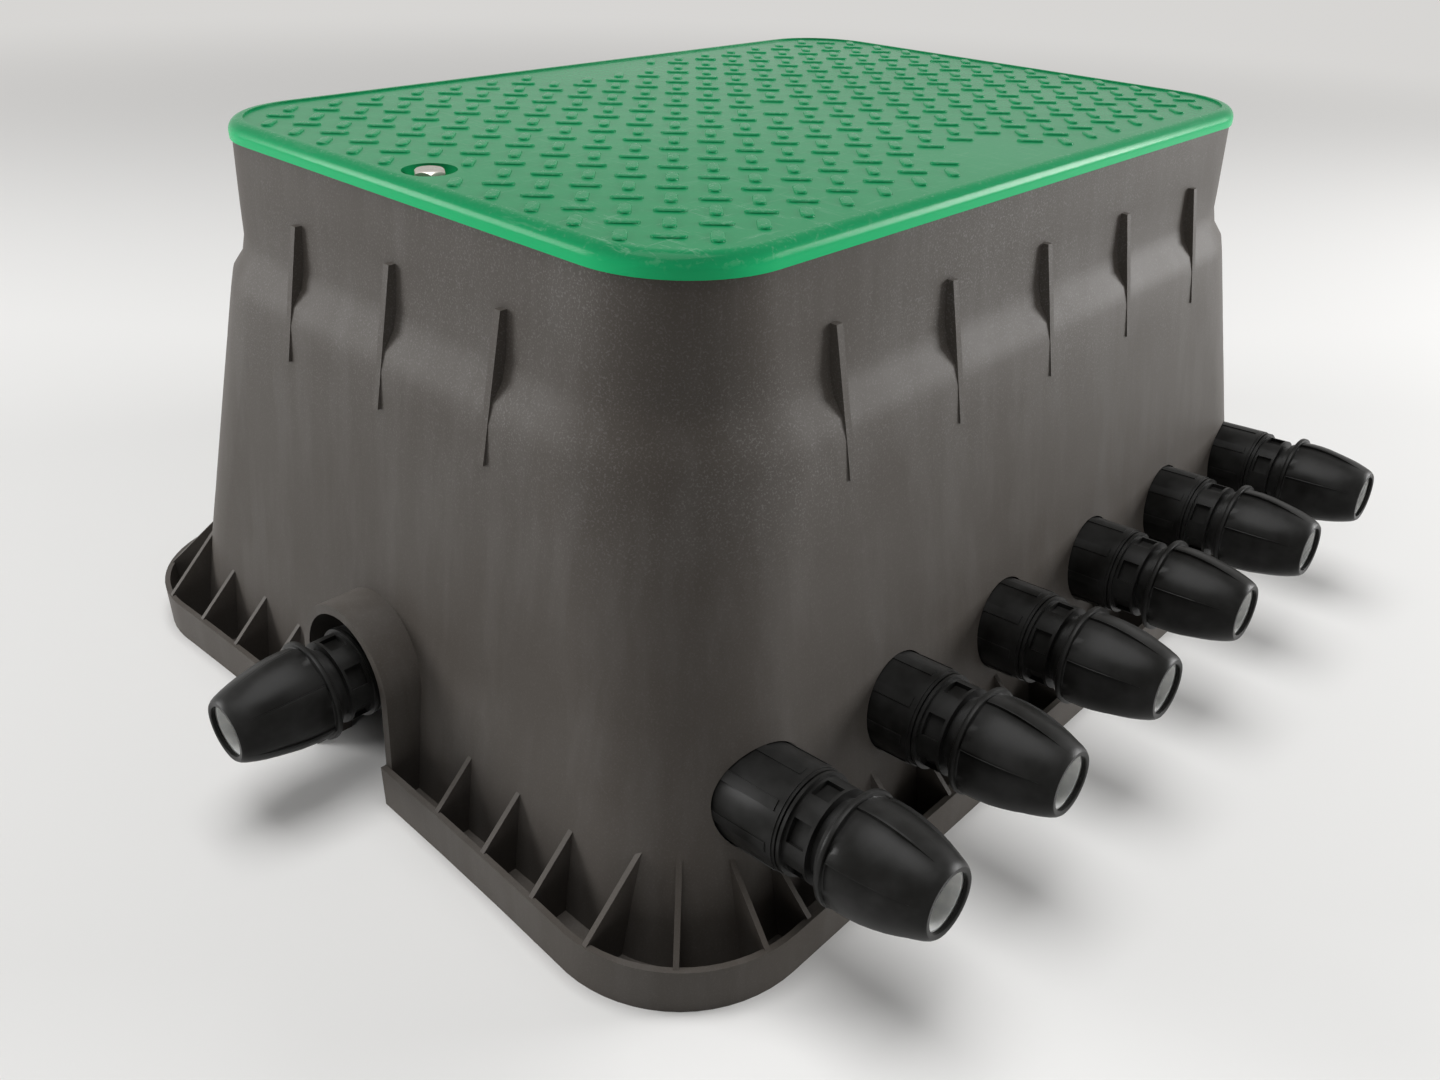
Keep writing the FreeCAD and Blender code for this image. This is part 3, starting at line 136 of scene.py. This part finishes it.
class StageSettings(bpy.types.PropertyGroup):
    """Camera and lights."""

    azimuth: FloatProperty(
        name="Azimuth", description="Direction the camera looks from, round Z", default=radians(-47.953),
        subtype="ANGLE")
    elevation: FloatProperty(
        name="Elevation", description="Height of the camera above the horizon", default=radians(30.471),
        subtype="ANGLE")
    roll: FloatProperty(
        name="Roll", description="Turn of the camera about its own axis", default=radians(2.094),
        subtype="ANGLE")
    place: FloatVectorProperty(
        name="Camera Place", description="Where the camera stands", subtype="TRANSLATION", size=3,
        default=(-0.54276, -0.46018, 0.43117), unit="LENGTH")
    lens: FloatProperty(
        name="Lens", description="Focal length on a 36 mm wide sensor", default=29.603, min=1)
    light: FloatProperty(
        name="Light", description="Strength of the whole studio", default=1.0, min=0)


class Field:
    """A socket in a shader tree that can be used in Python arithmetic."""

    def __init__(self, bench, socket):
        self.bench = bench
        self.socket = socket

    def _math(self, operation, *terms, clamp=False):
        return self.bench.add("ShaderNodeMath", {"operation": operation, "use_clamp": clamp}, *terms)

    def __add__(self, other):
        return self._math("ADD", self, other)

    def __radd__(self, other):
        """Takes a number on the left, and the 0 that sum() starts from."""
        return self if other == 0 else self._math("ADD", other, self)

    def __sub__(self, other):
        return self._math("SUBTRACT", self, other)

    def __rsub__(self, other):
        return self._math("SUBTRACT", other, self)

    def __mul__(self, other):
        return self._math("MULTIPLY", self, other)

    def above(self, edge, softness):
        """Rises from 0 to 1 as the value passes an edge."""
        return self.bench.add(
            "ShaderNodeMapRange", {"interpolation_type": "SMOOTHSTEP"},
            self, edge - softness, edge + softness, 0.0, 1.0)

    def limited(self):
        """The value kept between 0 and 1."""
        return self._math("ADD", self, 0.0, clamp=True)

    def beside(self, output):
        """Another output of the node that this one comes from."""
        return Field(self.bench, self.socket.node.outputs[output])


class Bench:
    """Builds one material's node tree."""

    def __init__(self, name):
        self.material = bpy.data.materials.new(name)
        self.material.use_nodes = True
        self.tree = self.material.node_tree
        self.shader = self.tree.nodes["Principled BSDF"]

    def add(self, kind, settings=None, *values, output=0, **named):
        """Adds a node: its settings first, then the values or links of its sockets."""
        node = self.tree.nodes.new(kind)
        for key, setting in (settings or {}).items():
            setattr(node, key, setting)
        for socket, item in [*zip(node.inputs, values), *((node.inputs[k], v) for k, v in named.items())]:
            self.feed(socket, item)
        return Field(self, node.outputs[output])

    def feed(self, socket, item):
        """Links or sets one socket. An empty item leaves it as it is."""
        if isinstance(item, Field):
            self.tree.links.new(item.socket, socket)
        elif item is not None:
            socket.default_value = item

    def place(self):
        """The point on the surface, in metres, in the piece's own frame."""
        return self.add("ShaderNodeTexCoord", output=3)

    def along(self, axis):
        """One coordinate of that point."""
        return self.add("ShaderNodeSeparateXYZ", None, self.place()).beside(axis)

    def noise(self, scale, detail=3.0, roughness=0.5, stretch=(1, 1, 1)):
        """Noise with a scale in waves per metre."""
        spot = self.add("ShaderNodeMapping", None, Vector=self.place(), Scale=stretch)
        return self.add("ShaderNodeTexNoise", {"normalize": True}, Vector=spot, Scale=float(scale),
                        Detail=detail, Roughness=roughness)

    def blend(self, share, first, second):
        """Mixes two colours."""
        node = self.tree.nodes.new("ShaderNodeMix")
        node.data_type = "RGBA"
        self.feed(node.inputs["Factor"], share)
        for key, colour in (("A", first), ("B", second)):
            socket = next(s for s in node.inputs if s.name == key and s.type == "RGBA")
            self.feed(socket, colour if isinstance(colour, Field) else (*colour, 1.0))
        return Field(self, next(s for s in node.outputs if s.type == "RGBA"))

    def bump(self, height, distance, strength=1.0):
        return self.add("ShaderNodeBump", None, Height=height, Distance=distance, Strength=strength)

    def finish(self, **sockets):
        """Feeds the Principled shader and gives the material."""
        for name, item in sockets.items():
            name = name.replace("_", " ")
            if isinstance(item, tuple) and name == "Base Color":
                item = (*item, 1.0)
            self.feed(self.shader.inputs[name], item)
        return self.material


def lighter(colour, share):
    return tuple(c + (1 - c) * share for c in colour)


def darker(colour, share):
    return tuple(c * (1 - share) for c in colour)


# How strongly each plastic reflects, where 0.5 is the usual amount.
BOX_SHEEN = 0.15
LID_SHEEN = 0.07
BLACK_SHEEN = 0.12

# Painted highlight: how much brighter the lid's rounded edge is painted than its plate.
PAINTED_EDGE_LIGHT_GAIN = 2.0

# Axes of a point.
X, Y, Z = range(3)


# Painted highlight: the lid's colour made up to twice as bright, for its rounded edge.
def painted_edge_light_colour(colour):
    return tuple(min(1.0, c * PAINTED_EDGE_LIGHT_GAIN) for c in colour)


def box_plastic(bench):
    """Brownish dark grey polypropylene: fine grain, pale speckle on its shoulder and a soft haze."""
    colour = tuple(bpy.context.scene.valve_box.colour)
    height = bench.along(Z)
    haze = bench.noise(7, 4.0, 0.6).above(0.5, 0.22)
    streaks = bench.noise(60, 3.0, 0.6, stretch=(1, 1, 0.12)).above(0.56, 0.14)
    speckle = bench.noise(1100, 2.0, 0.6).above(0.6, 0.08)
    shoulder = height.above(0.19, 0.04) * haze
    dusty = (speckle * (0.06 + shoulder * 0.3) + haze * 0.10 + streaks * 0.06).limited()
    base = bench.blend(dusty, colour, lighter(colour, 0.2))
    grain = bench.noise(2200, 2.0, 0.5)
    rough = 0.46 + haze * 0.08 + grain * 0.06
    normal = bench.bump(grain, 0.00006, 0.6)
    return bench.finish(Base_Color=base, Roughness=rough, Normal=normal, Specular_IOR_Level=BOX_SHEEN)


def lid_plastic(bench):
    """Green polypropylene with a soft gloss, worn pale on the treads and at the corner at -X and -Y, with a
    painted highlight on its rounded edge.
    """
    colour = tuple(bpy.context.scene.valve_lid.colour)
    height = bench.along(Z)
    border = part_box("lid")[1].z
    cloud = bench.noise(9, 3.0, 0.5).above(0.5, 0.25)
    fine = bench.noise(420, 4.0, 0.7).above(0.6, 0.1)
    scratches = bench.noise(260, 3.0, 0.65, stretch=(1, 0.16, 1)).above(0.63, 0.05)
    crossing = bench.noise(240, 3.0, 0.65, stretch=(0.14, 1, 1)).above(0.64, 0.05)
    corner_x = (bench.along(X) * -1.0 - 0.10).above(0.07, 0.09)
    corner_y = (bench.along(Y) * -1.0 - 0.03).above(0.07, 0.08)
    corner = (corner_x * corner_y).limited()
    raised = height.above(border - 0.0006, 0.0003)
    worn = (fine * (raised * 0.22 + 0.04) + (scratches + crossing) * (0.05 + corner * 0.20)).limited()
    base = bench.blend(worn, colour, lighter(colour, 0.30))
    shaded = bench.blend(cloud * 0.25, base, darker(colour, 0.25))
    # Painted highlight: below the top of the border, the lid's colour is blended towards the brighter edge
    # colour. The blend is strongest on the rounded edge and the sides.
    edge = 1 - height.above(border - 0.004, 0.003)
    with_painted_edge_light = bench.blend(edge, shaded, painted_edge_light_colour(colour))
    grain = bench.noise(900, 2.0, 0.5)
    rough = 0.17 + cloud * 0.05 + worn * 0.3 + grain * 0.04
    normal = bench.bump(grain, 0.00005, 0.5)
    return bench.finish(Base_Color=with_painted_edge_light, Roughness=rough, Normal=normal, Specular_IOR_Level=LID_SHEEN)


def black_plastic(bench, colour, roughness, grain_depth):
    """Satin black moulded plastic with faint flow marks."""
    flow = bench.noise(45, 3.0, 0.55).above(0.5, 0.25)
    grain = bench.noise(1700, 2.0, 0.55)
    dust = bench.noise(700, 3.0, 0.7).above(0.68, 0.05)
    base = bench.blend(flow * 0.35 + dust * 0.10, colour, lighter(colour, 0.05))
    rough = roughness + flow * 0.07 + grain * 0.06
    normal = bench.bump(grain, grain_depth, 0.6)
    return bench.finish(Base_Color=base, Roughness=rough, Normal=normal, Specular_IOR_Level=BLACK_SHEEN)


def pale_plastic(bench):
    """Milky acetal of the grip rings and bushes."""
    milky = bench.noise(180, 3.0, 0.5).above(0.5, 0.2)
    base = bench.blend(milky, (0.70, 0.71, 0.70), (0.80, 0.80, 0.78))
    rough = 0.30 + milky * 0.08
    return bench.finish(Base_Color=base, Roughness=rough, Normal=bench.bump(milky, 0.00002, 0.4))


def plain_steel(bench):
    """Stainless steel with fine turning marks and small dull spots."""
    marks = bench.noise(900, 3.0, 0.6, stretch=(1, 1, 0.2))
    spots = bench.noise(500, 3.0, 0.6).above(0.6, 0.1)
    base = bench.blend(spots * 0.5, (0.46, 0.44, 0.40), (0.30, 0.28, 0.25))
    rough = 0.40 + marks * 0.12 + spots * 0.12
    normal = bench.bump(marks, 0.00003, 0.5)
    return bench.finish(Base_Color=base, Metallic=1.0, Roughness=rough, Normal=normal)


def black_rubber(bench):
    """Dull black rubber."""
    grain = bench.noise(1200, 3.0, 0.6)
    base = bench.blend(grain, (0.012, 0.012, 0.012), (0.024, 0.024, 0.024))
    rough = 0.62 + grain * 0.15
    return bench.finish(Base_Color=base, Roughness=rough, Normal=bench.bump(grain, 0.00005, 0.6))


def fitting_plastic(bench):
    colour = tuple(bpy.context.scene.valve_box.fitting_colour)
    return black_plastic(bench, colour, roughness=0.30, grain_depth=0.00004)


def pipework_plastic(bench):
    return black_plastic(bench, (0.017, 0.017, 0.018), roughness=0.42, grain_depth=0.00006)


def coil_plastic(bench):
    return black_plastic(bench, (0.020, 0.020, 0.022), roughness=0.36, grain_depth=0.00003)


FINISHES = {
    "box_plastic": box_plastic,
    "lid_plastic": lid_plastic,
    "fitting_plastic": fitting_plastic,
    "pipework_plastic": pipework_plastic,
    "coil_plastic": coil_plastic,
    "ring_plastic": pale_plastic,
    "steel": plain_steel,
    "rubber": black_rubber,
}


def finish_of(slot):
    """The material of a slot, made when it is first asked for. The frame's own has the bare name."""
    name = slot + "_finish"
    return bpy.data.materials.get(name) or FINISHES[slot](Bench(name))


def new_piece(name, mesh, node):
    """Puts a finished mesh in the scene on a node's body, with that node's finish."""
    piece = bpy.data.objects.new(name, mesh)
    bpy.context.scene.collection.objects.link(piece)
    mesh.materials.clear()
    mesh.materials.append(finish_of(SLOT_OF[node]))
    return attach(piece, BODY_OF[node])


def shade(mesh, angle):
    """Smooth shading with crisp edges where the faces meet sharply."""
    if "custom_normal" in mesh.attributes:
        mesh.attributes.remove(mesh.attributes["custom_normal"])
    mesh.shade_smooth()
    mesh.set_sharp_from_angle(angle=angle)


# Corners of the CAD mesh closer than this become one.
WELD_DISTANCE = 2e-6


def dress(node):
    """Stands a smooth-shaded copy of a CAD node in its place."""
    mesh = frame["nodes"][node].data.copy()
    mesh.name = node + "_mesh"
    form = bmesh.new()
    form.from_mesh(mesh)
    bmesh.ops.remove_doubles(form, verts=form.verts, dist=WELD_DISTANCE)
    form.to_mesh(mesh)
    form.free()
    shade(mesh, bpy.context.scene.valve_box.edge_angle)
    piece = new_piece(node + "_shown", mesh, node)
    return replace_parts(piece, node)


def dress_all(*endings):
    names = nodes_named(*endings)
    if not names:
        raise RuntimeError(f"no CAD nodes end in {endings}")
    for node in names:
        dress(node)


class VALVEBOX_OT_box(bpy.types.Operator):
    """Dress the moulded box"""

    bl_idname = "valvebox.box"
    bl_label = "Box"

    def execute(self, context):
        dress("box_body")
        return {"FINISHED"}


# How far a bar's foot reaches down into the plate.
TREAD_FOOT = 0.0004
# A bar's sides above the plate: share of its width that they are drawn in, then share of its height.
TREAD_SIDES = ((0.0, 0.35), (0.10, 0.75), (0.24, 0.95), (0.42, 1.0))
TREAD_EDGE_ANGLE = radians(60)
# Radius of the corners of the field of treads.
TREAD_FIELD_CORNER = 0.036
# Plain places among the treads: middle, half length and half width.
BARE_PLACES = (
    (0.0, -0.143, 0.040, 0.016),
    (0.0, 0.152, 0.046, 0.018),
    (RECESS_CENTRE.x, RECESS_CENTRE.y, 0.021, 0.021),
    (0.0, 0.0, 0.009, 0.009),
)
# The plate is the first level that is further than this below the border.
LEAST_DISH = 0.0007


def tread_outline(length, width, steps=7):
    """Points round a bar with round ends, counter-clockwise from its right end."""
    radius = width / 2
    straight = length / 2 - radius
    points = []
    for side, first in ((1, -pi / 2), (-1, pi / 2)):
        for n in range(steps):
            angle = first + pi * n / (steps - 1)
            points.append(Vector((side * straight + radius * cos(angle), radius * sin(angle), 0)))
    return points


def add_tread(form, centre, turn, length, width, height):
    """One raised bar: a foot in the plate, sloping sides and a slightly domed top."""
    outline = tread_outline(length, width)
    rings = []
    for inset, level in ((0.0, -TREAD_FOOT), *((inset, rise * height) for inset, rise in TREAD_SIDES)):
        scale_x = 1 - inset * width / length
        scale_y = 1 - inset
        spots = [Vector((p.x * scale_x, p.y * scale_y, level)) for p in outline]
        rings.append([form.verts.new(centre + turn @ spot) for spot in spots])
    for low, high in zip(rings, rings[1:]):
        for n in range(len(low)):
            m = (n + 1) % len(low)
            form.faces.new((low[n], low[m], high[m], high[n]))
    form.faces.new(rings[-1])


def tread_spots(lid):
    """Places and directions of the bars: two crossed grids, half a pitch apart."""
    plate_half_x = LID_LENGTH / 2 - lid.margin
    plate_half_y = LID_WIDTH / 2 - lid.margin
    corner = TREAD_FIELD_CORNER
    rows_x = int(plate_half_x / lid.pitch_along) + 1
    rows_y = int(plate_half_y / lid.pitch_across) + 1
    for i in range(-2 * rows_x, 2 * rows_x + 1):
        for j in range(-2 * rows_y, 2 * rows_y + 1):
            if (i + j) % 2:
                continue
            x = i * lid.pitch_along / 2
            y = j * lid.pitch_across / 2
            over_x = abs(x) - (plate_half_x - corner)
            over_y = abs(y) - (plate_half_y - corner)
            outside = max(over_x, over_y) > corner
            cut_corner = over_x > 0 and over_y > 0 and over_x ** 2 + over_y ** 2 > corner ** 2
            covered = any(abs(x - bx) < wx and abs(y - by) < wy for bx, by, wx, wy in BARE_PLACES)
            if outside or cut_corner or covered:
                continue
            yield x, y, 45 if i % 2 == 0 else -45


class VALVEBOX_OT_lid(bpy.types.Operator):
    """Dress the lid and set its treads"""

    bl_idname = "valvebox.lid"
    bl_label = "Lid"

    def execute(self, context):
        dress("lid")
        lid = context.scene.valve_lid
        plate = plate_height()
        form = bmesh.new()
        for x, y, angle in tread_spots(lid):
            spot = Vector((x, y, plate))
            turn = Matrix.Rotation(radians(angle), 3, "Z")
            add_tread(form, spot, turn, lid.tread_length, lid.tread_width, lid.tread_height)
        mesh = bpy.data.meshes.new("lid_treads_mesh")
        form.to_mesh(mesh)
        form.free()
        shade(mesh, TREAD_EDGE_ANGLE)
        new_piece("lid_treads", mesh, "lid")
        return {"FINISHED"}


def plate_height():
    """Height of the dished plate inside the lid's raised border."""
    heights = sorted({round(v.co.z, 5) for v in frame["nodes"]["lid"].data.vertices}, reverse=True)
    border = heights[0]
    return next(h for h in heights if border - h > LEAST_DISH)


class VALVEBOX_OT_fasteners(bpy.types.Operator):
    """Dress the lid's bolt, washer and captive nut"""

    bl_idname = "valvebox.fasteners"
    bl_label = "Lid Fasteners"

    def execute(self, context):
        for node in ("lid_bolt", "lid_washer", "lid_nut"):
            dress(node)
        return {"FINISHED"}


# The nut's outside over its panels' raised edges: share of its length, then share of its radius.
NUT_OUTLINE = (
    (0.07, 0.960), (0.16, 0.972), (0.27, 0.968), (0.40, 0.945), (0.52, 0.905), (0.64, 0.853), (0.75, 0.790),
    (0.85, 0.722), (0.935, 0.662), (0.975, 0.625), (0.995, 0.592))
# Shares of the nut's radius: the groove in front of the collar, the opening at the back and the mouth's face.
GROOVE_SHARE = 0.925
BACK_SHARE = 0.81
FACE_SHARE = 0.583
# The first raised edge's angle round the nut, from its side towards its top.
FIRST_EDGE = radians(23)
# Places round one panel, as shares of its width. They are close together at its raised edge.
PANEL_TURNS = (0.0, 0.012, 0.05, 0.12, 0.2, 0.3, 0.4, 0.5, 0.6, 0.7, 0.8, 0.88, 0.94, 0.975, 0.982, 0.988)
# From this share of its width on, a panel has risen to the next one's edge.
RISE_START = 0.985
NUT_EDGE_ANGLE = radians(38)


def soft_step(low, high, amount):
    """Rises smoothly from 0 to 1 between two amounts."""
    share = min(1.0, max(0.0, (amount - low) / (high - low)))
    return share * share * (3 - 2 * share)


def panel_radius(ridge, step, turn):
    """Radius at a share of one panel's width, from its raised edge down to the next panel's edge."""
    if turn > RISE_START:
        return ridge
    rounding = 0.12 * step * (1 - soft_step(0.0, 0.02, turn))
    flatness = 0.5 * step * soft_step(0.0, 0.5, turn) * soft_step(0.0, 0.5, 1 - turn)
    return ridge - step * turn - rounding - flatness


def round_ring(distance, radius):
    """A ring of one radius, in the form that nut_rings gives."""
    return distance, lambda turn: radius


def nut_rings(nut):
    """Rings of (distance, radius at a turn) from the nut's back, over its outside and into its mouth."""
    collar = nut.collar
    groove = NUT_RADIUS * GROOVE_SHARE
    opening = NUT_RADIUS * BACK_SHARE
    rings = [round_ring(distance, radius) for distance, radius in (
        (0.6 * NUT_LENGTH, opening), (0.0003, opening), (0.0, opening + 0.0003),
        (0.0, NUT_RADIUS - 0.0005), (0.0002, NUT_RADIUS - 0.00015), (0.0006, NUT_RADIUS),
        (collar - 0.0006, NUT_RADIUS), (collar - 0.0002, NUT_RADIUS - 0.00015),
        (collar, NUT_RADIUS - 0.0006), (collar + 0.0001, groove),
    )]
    for share, reach in NUT_OUTLINE:
        step = nut.step * (1 - soft_step(0.5, 0.93, share))
        ridge = NUT_RADIUS * reach
        distance = max(NUT_LENGTH * share, collar + 0.0005)
        rings.append((distance, lambda turn, ridge=ridge, step=step: panel_radius(ridge, step, turn)))
    bore = PIPE_RADIUS + 0.0003
    face = NUT_RADIUS * FACE_SHARE
    mouth = [round_ring(distance, radius) for distance, radius in (
        (NUT_LENGTH, face), (NUT_LENGTH, bore + 0.0004), (NUT_LENGTH - 0.0003, bore),
        (NUT_LENGTH - nut.lip, bore), (NUT_LENGTH - nut.lip - 0.0002, bore + 0.0014),
    )]
    return rings + mouth


def nut_mesh(name, nut):
    """The nut about its own axis: back at the origin, mouth along +X."""
    form = bmesh.new()
    rows = []
    for distance, reach in nut_rings(nut):
        row = []
        for n in range(nut.panels):
            for turn in PANEL_TURNS:
                angle = FIRST_EDGE + 2 * pi * (n + turn) / nut.panels
                radius = reach(turn)
                row.append(form.verts.new((distance, radius * cos(angle), radius * sin(angle))))
        rows.append(row)
    for low, high in zip(rows, rows[1:]):
        for n in range(len(low)):
            m = (n + 1) % len(low)
            form.faces.new((low[n], high[n], high[m], low[m]))
    bmesh.ops.recalc_face_normals(form, faces=form.faces)
    mesh = bpy.data.meshes.new(name + "_mesh")
    form.to_mesh(mesh)
    form.free()
    return mesh


def fitting_frame(name):
    """The frame of a fitting's nut: X outwards along the pipe, Z as near to up as it goes."""
    mount = MOUNTS[name + "_pipe"]
    out = Vector(mount["axis"]).normalized()
    side = out.cross(Vector((0, 0, 1))).normalized()
    up = side.cross(out)
    matrix = Matrix((out, side, up)).transposed().to_4x4()
    matrix.translation = Vector(mount["pos_m"]) - NUT_BEHIND_PIPE * out
    return matrix


class VALVEBOX_OT_fittings(bpy.types.Operator):
    """Dress the compression fittings with their nuts, rings, seals and bushes"""

    bl_idname = "valvebox.fittings"
    bl_label = "Compression Fittings"

    def execute(self, context):
        dress_all("fitting_body", "grip_ring", "fitting_seals", "pressing_bushes")
        nut = context.scene.valve_nut
        for name in FITTINGS:
            mesh = nut_mesh(name + "_nut", nut)
            mesh.transform(fitting_frame(name))
            shade(mesh, NUT_EDGE_ANGLE)
            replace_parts(new_piece(name + "_nut_shown", mesh, name + "_nut"), name + "_nut")
        return {"FINISHED"}


class VALVEBOX_OT_sockets(bpy.types.Operator):
    """Dress the wall sockets"""

    bl_idname = "valvebox.sockets"
    bl_label = "Wall Sockets"

    def execute(self, context):
        dress_all("wall_socket")
        return {"FINISHED"}


class VALVEBOX_OT_manifold(bpy.types.Operator):
    """Dress the manifold, its cap and the unions"""

    bl_idname = "valvebox.manifold"
    bl_label = "Manifold"

    def execute(self, context):
        dress_all("manifold", "manifold_cap", "union_nuts", "union_seals")
        return {"FINISHED"}


class VALVEBOX_OT_valves(bpy.types.Operator):
    """Dress the valves and their solenoids"""

    bl_idname = "valvebox.valves"
    bl_label = "Valves"

    def execute(self, context):
        dress_all("valve_body", "valve_bonnet", "solenoid", "bonnet_screws", "diaphragms")
        return {"FINISHED"}


FLOOR_COLOUR = (0.80, 0.795, 0.785)
BACKDROP_COLOUR = (0.68, 0.67, 0.655)
# Rays that see the plain backdrop instead of the dim light round the object.
SHOWING_RAYS = ("Is Camera Ray", "Is Glossy Ray", "Is Transmission Ray")
FLOOR_HALF = 8.0
# Distance from the object where the floor turns into the backdrop, and how far to both sides it blends.
FLOOR_FADE = (1.9, 1.1)
SKY_COLOUR = (0.95, 0.94, 0.92)
SKY_STRENGTH = 0.08
LAMP_TARGET = (0, 0, 0.12)
# Name, place, width and watts of each lamp.
LAMPS = (
    ("key_lamp", (-0.35, 0.0, 2.1), 1.3, 31),
    ("right_lamp", (2.0, -1.5, 0.8), 1.0, 60),
    ("left_lamp", (-1.8, 1.9, 0.8), 1.0, 44),
)
SENSOR_WIDTH = 36


def floor_mesh(half):
    form = bmesh.new()
    corners = [form.verts.new((x * half, y * half, 0)) for x, y in ((-1, -1), (1, -1), (1, 1), (-1, 1))]
    form.faces.new(corners)
    mesh = bpy.data.meshes.new("studio_floor_mesh")
    form.to_mesh(mesh)
    form.free()
    return mesh


def floor_paint():
    """A plain pale floor that takes the object's shadow near by and is evenly pale far away."""
    bench = Bench("studio_floor")
    bench.finish(Base_Color=FLOOR_COLOUR, Roughness=0.75)
    distance = bench.add("ShaderNodeVectorMath", {"operation": "LENGTH"}, bench.place(), output=1)
    rays = bench.add("ShaderNodeLightPath")
    seen = sum(rays.beside(ray) for ray in SHOWING_RAYS)
    far = distance.above(*FLOOR_FADE) * seen.limited()
    glow = bench.add("ShaderNodeEmission", None, (*BACKDROP_COLOUR, 1.0), 1.0)
    near = Field(bench, bench.shader.outputs[0])
    surface = bench.add("ShaderNodeMixShader", None, far, near, glow)
    bench.tree.links.new(surface.socket, bench.tree.nodes["Material Output"].inputs["Surface"])
    return bench.material


def add_lamp(name, place, size, watts):
    """A square soft lamp that looks at the object's middle."""
    lamp = bpy.data.lights.new(name, "AREA")
    lamp.shape = "SQUARE"
    lamp.size = size
    lamp.energy = watts
    holder = bpy.data.objects.new(name, lamp)
    holder.location = place
    holder.rotation_euler = (Vector(LAMP_TARGET) - Vector(place)).to_track_quat("-Z", "Y").to_euler()
    bpy.context.scene.collection.objects.link(holder)
    return holder


def studio_world(strength):
    """Even pale light, seen as a pale backdrop by the camera and in reflections."""
    world = bpy.data.worlds.new("studio_world")
    world.use_nodes = True
    tree = world.node_tree
    background = tree.nodes["Background"]
    background.inputs["Color"].default_value = (*SKY_COLOUR, 1)
    background.inputs["Strength"].default_value = SKY_STRENGTH * strength
    seen = tree.nodes.new("ShaderNodeBackground")
    seen.inputs["Color"].default_value = (*BACKDROP_COLOUR, 1)
    ray = tree.nodes.new("ShaderNodeLightPath")
    shown = ray.outputs[SHOWING_RAYS[0]]
    for other in SHOWING_RAYS[1:]:
        either = tree.nodes.new("ShaderNodeMath")
        either.operation = "MAXIMUM"
        tree.links.new(shown, either.inputs[0])
        tree.links.new(ray.outputs[other], either.inputs[1])
        shown = either.outputs[0]
    mix = tree.nodes.new("ShaderNodeMixShader")
    tree.links.new(shown, mix.inputs["Fac"])
    tree.links.new(background.outputs["Background"], mix.inputs[1])
    tree.links.new(seen.outputs["Background"], mix.inputs[2])
    tree.links.new(mix.outputs["Shader"], tree.nodes["World Output"].inputs["Surface"])
    bpy.context.scene.world = world


class VALVEBOX_OT_stage(bpy.types.Operator):
    """Set up the floor, the lamps and the camera"""

    bl_idname = "valvebox.stage"
    bl_label = "Stage"

    def execute(self, context):
        stage = context.scene.valve_stage
        floor = bpy.data.objects.new("studio_floor", floor_mesh(FLOOR_HALF))
        floor.data.materials.append(floor_paint())
        context.scene.collection.objects.link(floor)
        lamps = [add_lamp(name, place, size, watts * stage.light) for name, place, size, watts in LAMPS]
        camera_data = bpy.data.cameras.new("photo_camera")
        camera_data.lens = stage.lens
        camera_data.sensor_width = SENSOR_WIDTH
        camera = bpy.data.objects.new("photo_camera", camera_data)
        camera.matrix_world = camera_matrix(stage)
        context.scene.collection.objects.link(camera)
        context.scene.camera = camera
        context.scene.view_settings.view_transform = "Standard"
        studio_world(stage.light)
        return {"FINISHED"}


def camera_matrix(stage):
    """The camera's frame from its azimuth, elevation, roll and place."""
    back = Vector((sin(stage.azimuth) * cos(stage.elevation), -cos(stage.azimuth) * cos(stage.elevation),
                   sin(stage.elevation)))
    right = back.cross(Vector((0, 0, -1))).normalized()
    up = right.cross(-back)
    turned_right = cos(stage.roll) * right + sin(stage.roll) * up
    turned_up = cos(stage.roll) * up - sin(stage.roll) * right
    matrix = Matrix((turned_right, turned_up, back)).transposed().to_4x4()
    matrix.translation = Vector(stage.place)
    return matrix


class VALVEBOX_PT_panel(bpy.types.Panel):
    """Lists the box's settings and steps"""

    bl_label = "Valve Box"
    bl_idname = "VALVEBOX_PT_panel"
    bl_space_type = "VIEW_3D"
    bl_region_type = "UI"
    bl_category = "Valve Box"

    def draw(self, context):
        layout = self.layout
        for group in (getattr(context.scene, name) for name in SETTINGS):
            column = layout.column()
            for key in group.__annotations__:
                column.prop(group, key)
        for step in STEPS:
            layout.operator(step.bl_idname)


STEPS = (
    VALVEBOX_OT_box,
    VALVEBOX_OT_lid,
    VALVEBOX_OT_fasteners,
    VALVEBOX_OT_fittings,
    VALVEBOX_OT_sockets,
    VALVEBOX_OT_manifold,
    VALVEBOX_OT_valves,
    VALVEBOX_OT_stage,
)
SETTINGS = {
    "valve_lid": LidSettings,
    "valve_box": BoxSettings,
    "valve_nut": NutSettings,
    "valve_stage": StageSettings,
}
CLASSES = (*SETTINGS.values(), *STEPS, VALVEBOX_PT_panel)


def register():
    for kind in CLASSES:
        bpy.utils.register_class(kind)
    for name, kind in SETTINGS.items():
        setattr(bpy.types.Scene, name, PointerProperty(type=kind))


def unregister():
    for name in SETTINGS:
        delattr(bpy.types.Scene, name)
    for kind in reversed(CLASSES):
        bpy.utils.unregister_class(kind)


def main():
    register()
    for step in STEPS:
        family, action = step.bl_idname.split(".")
        getattr(getattr(bpy.ops, family), action)()


if __name__ == "__main__":
    main()
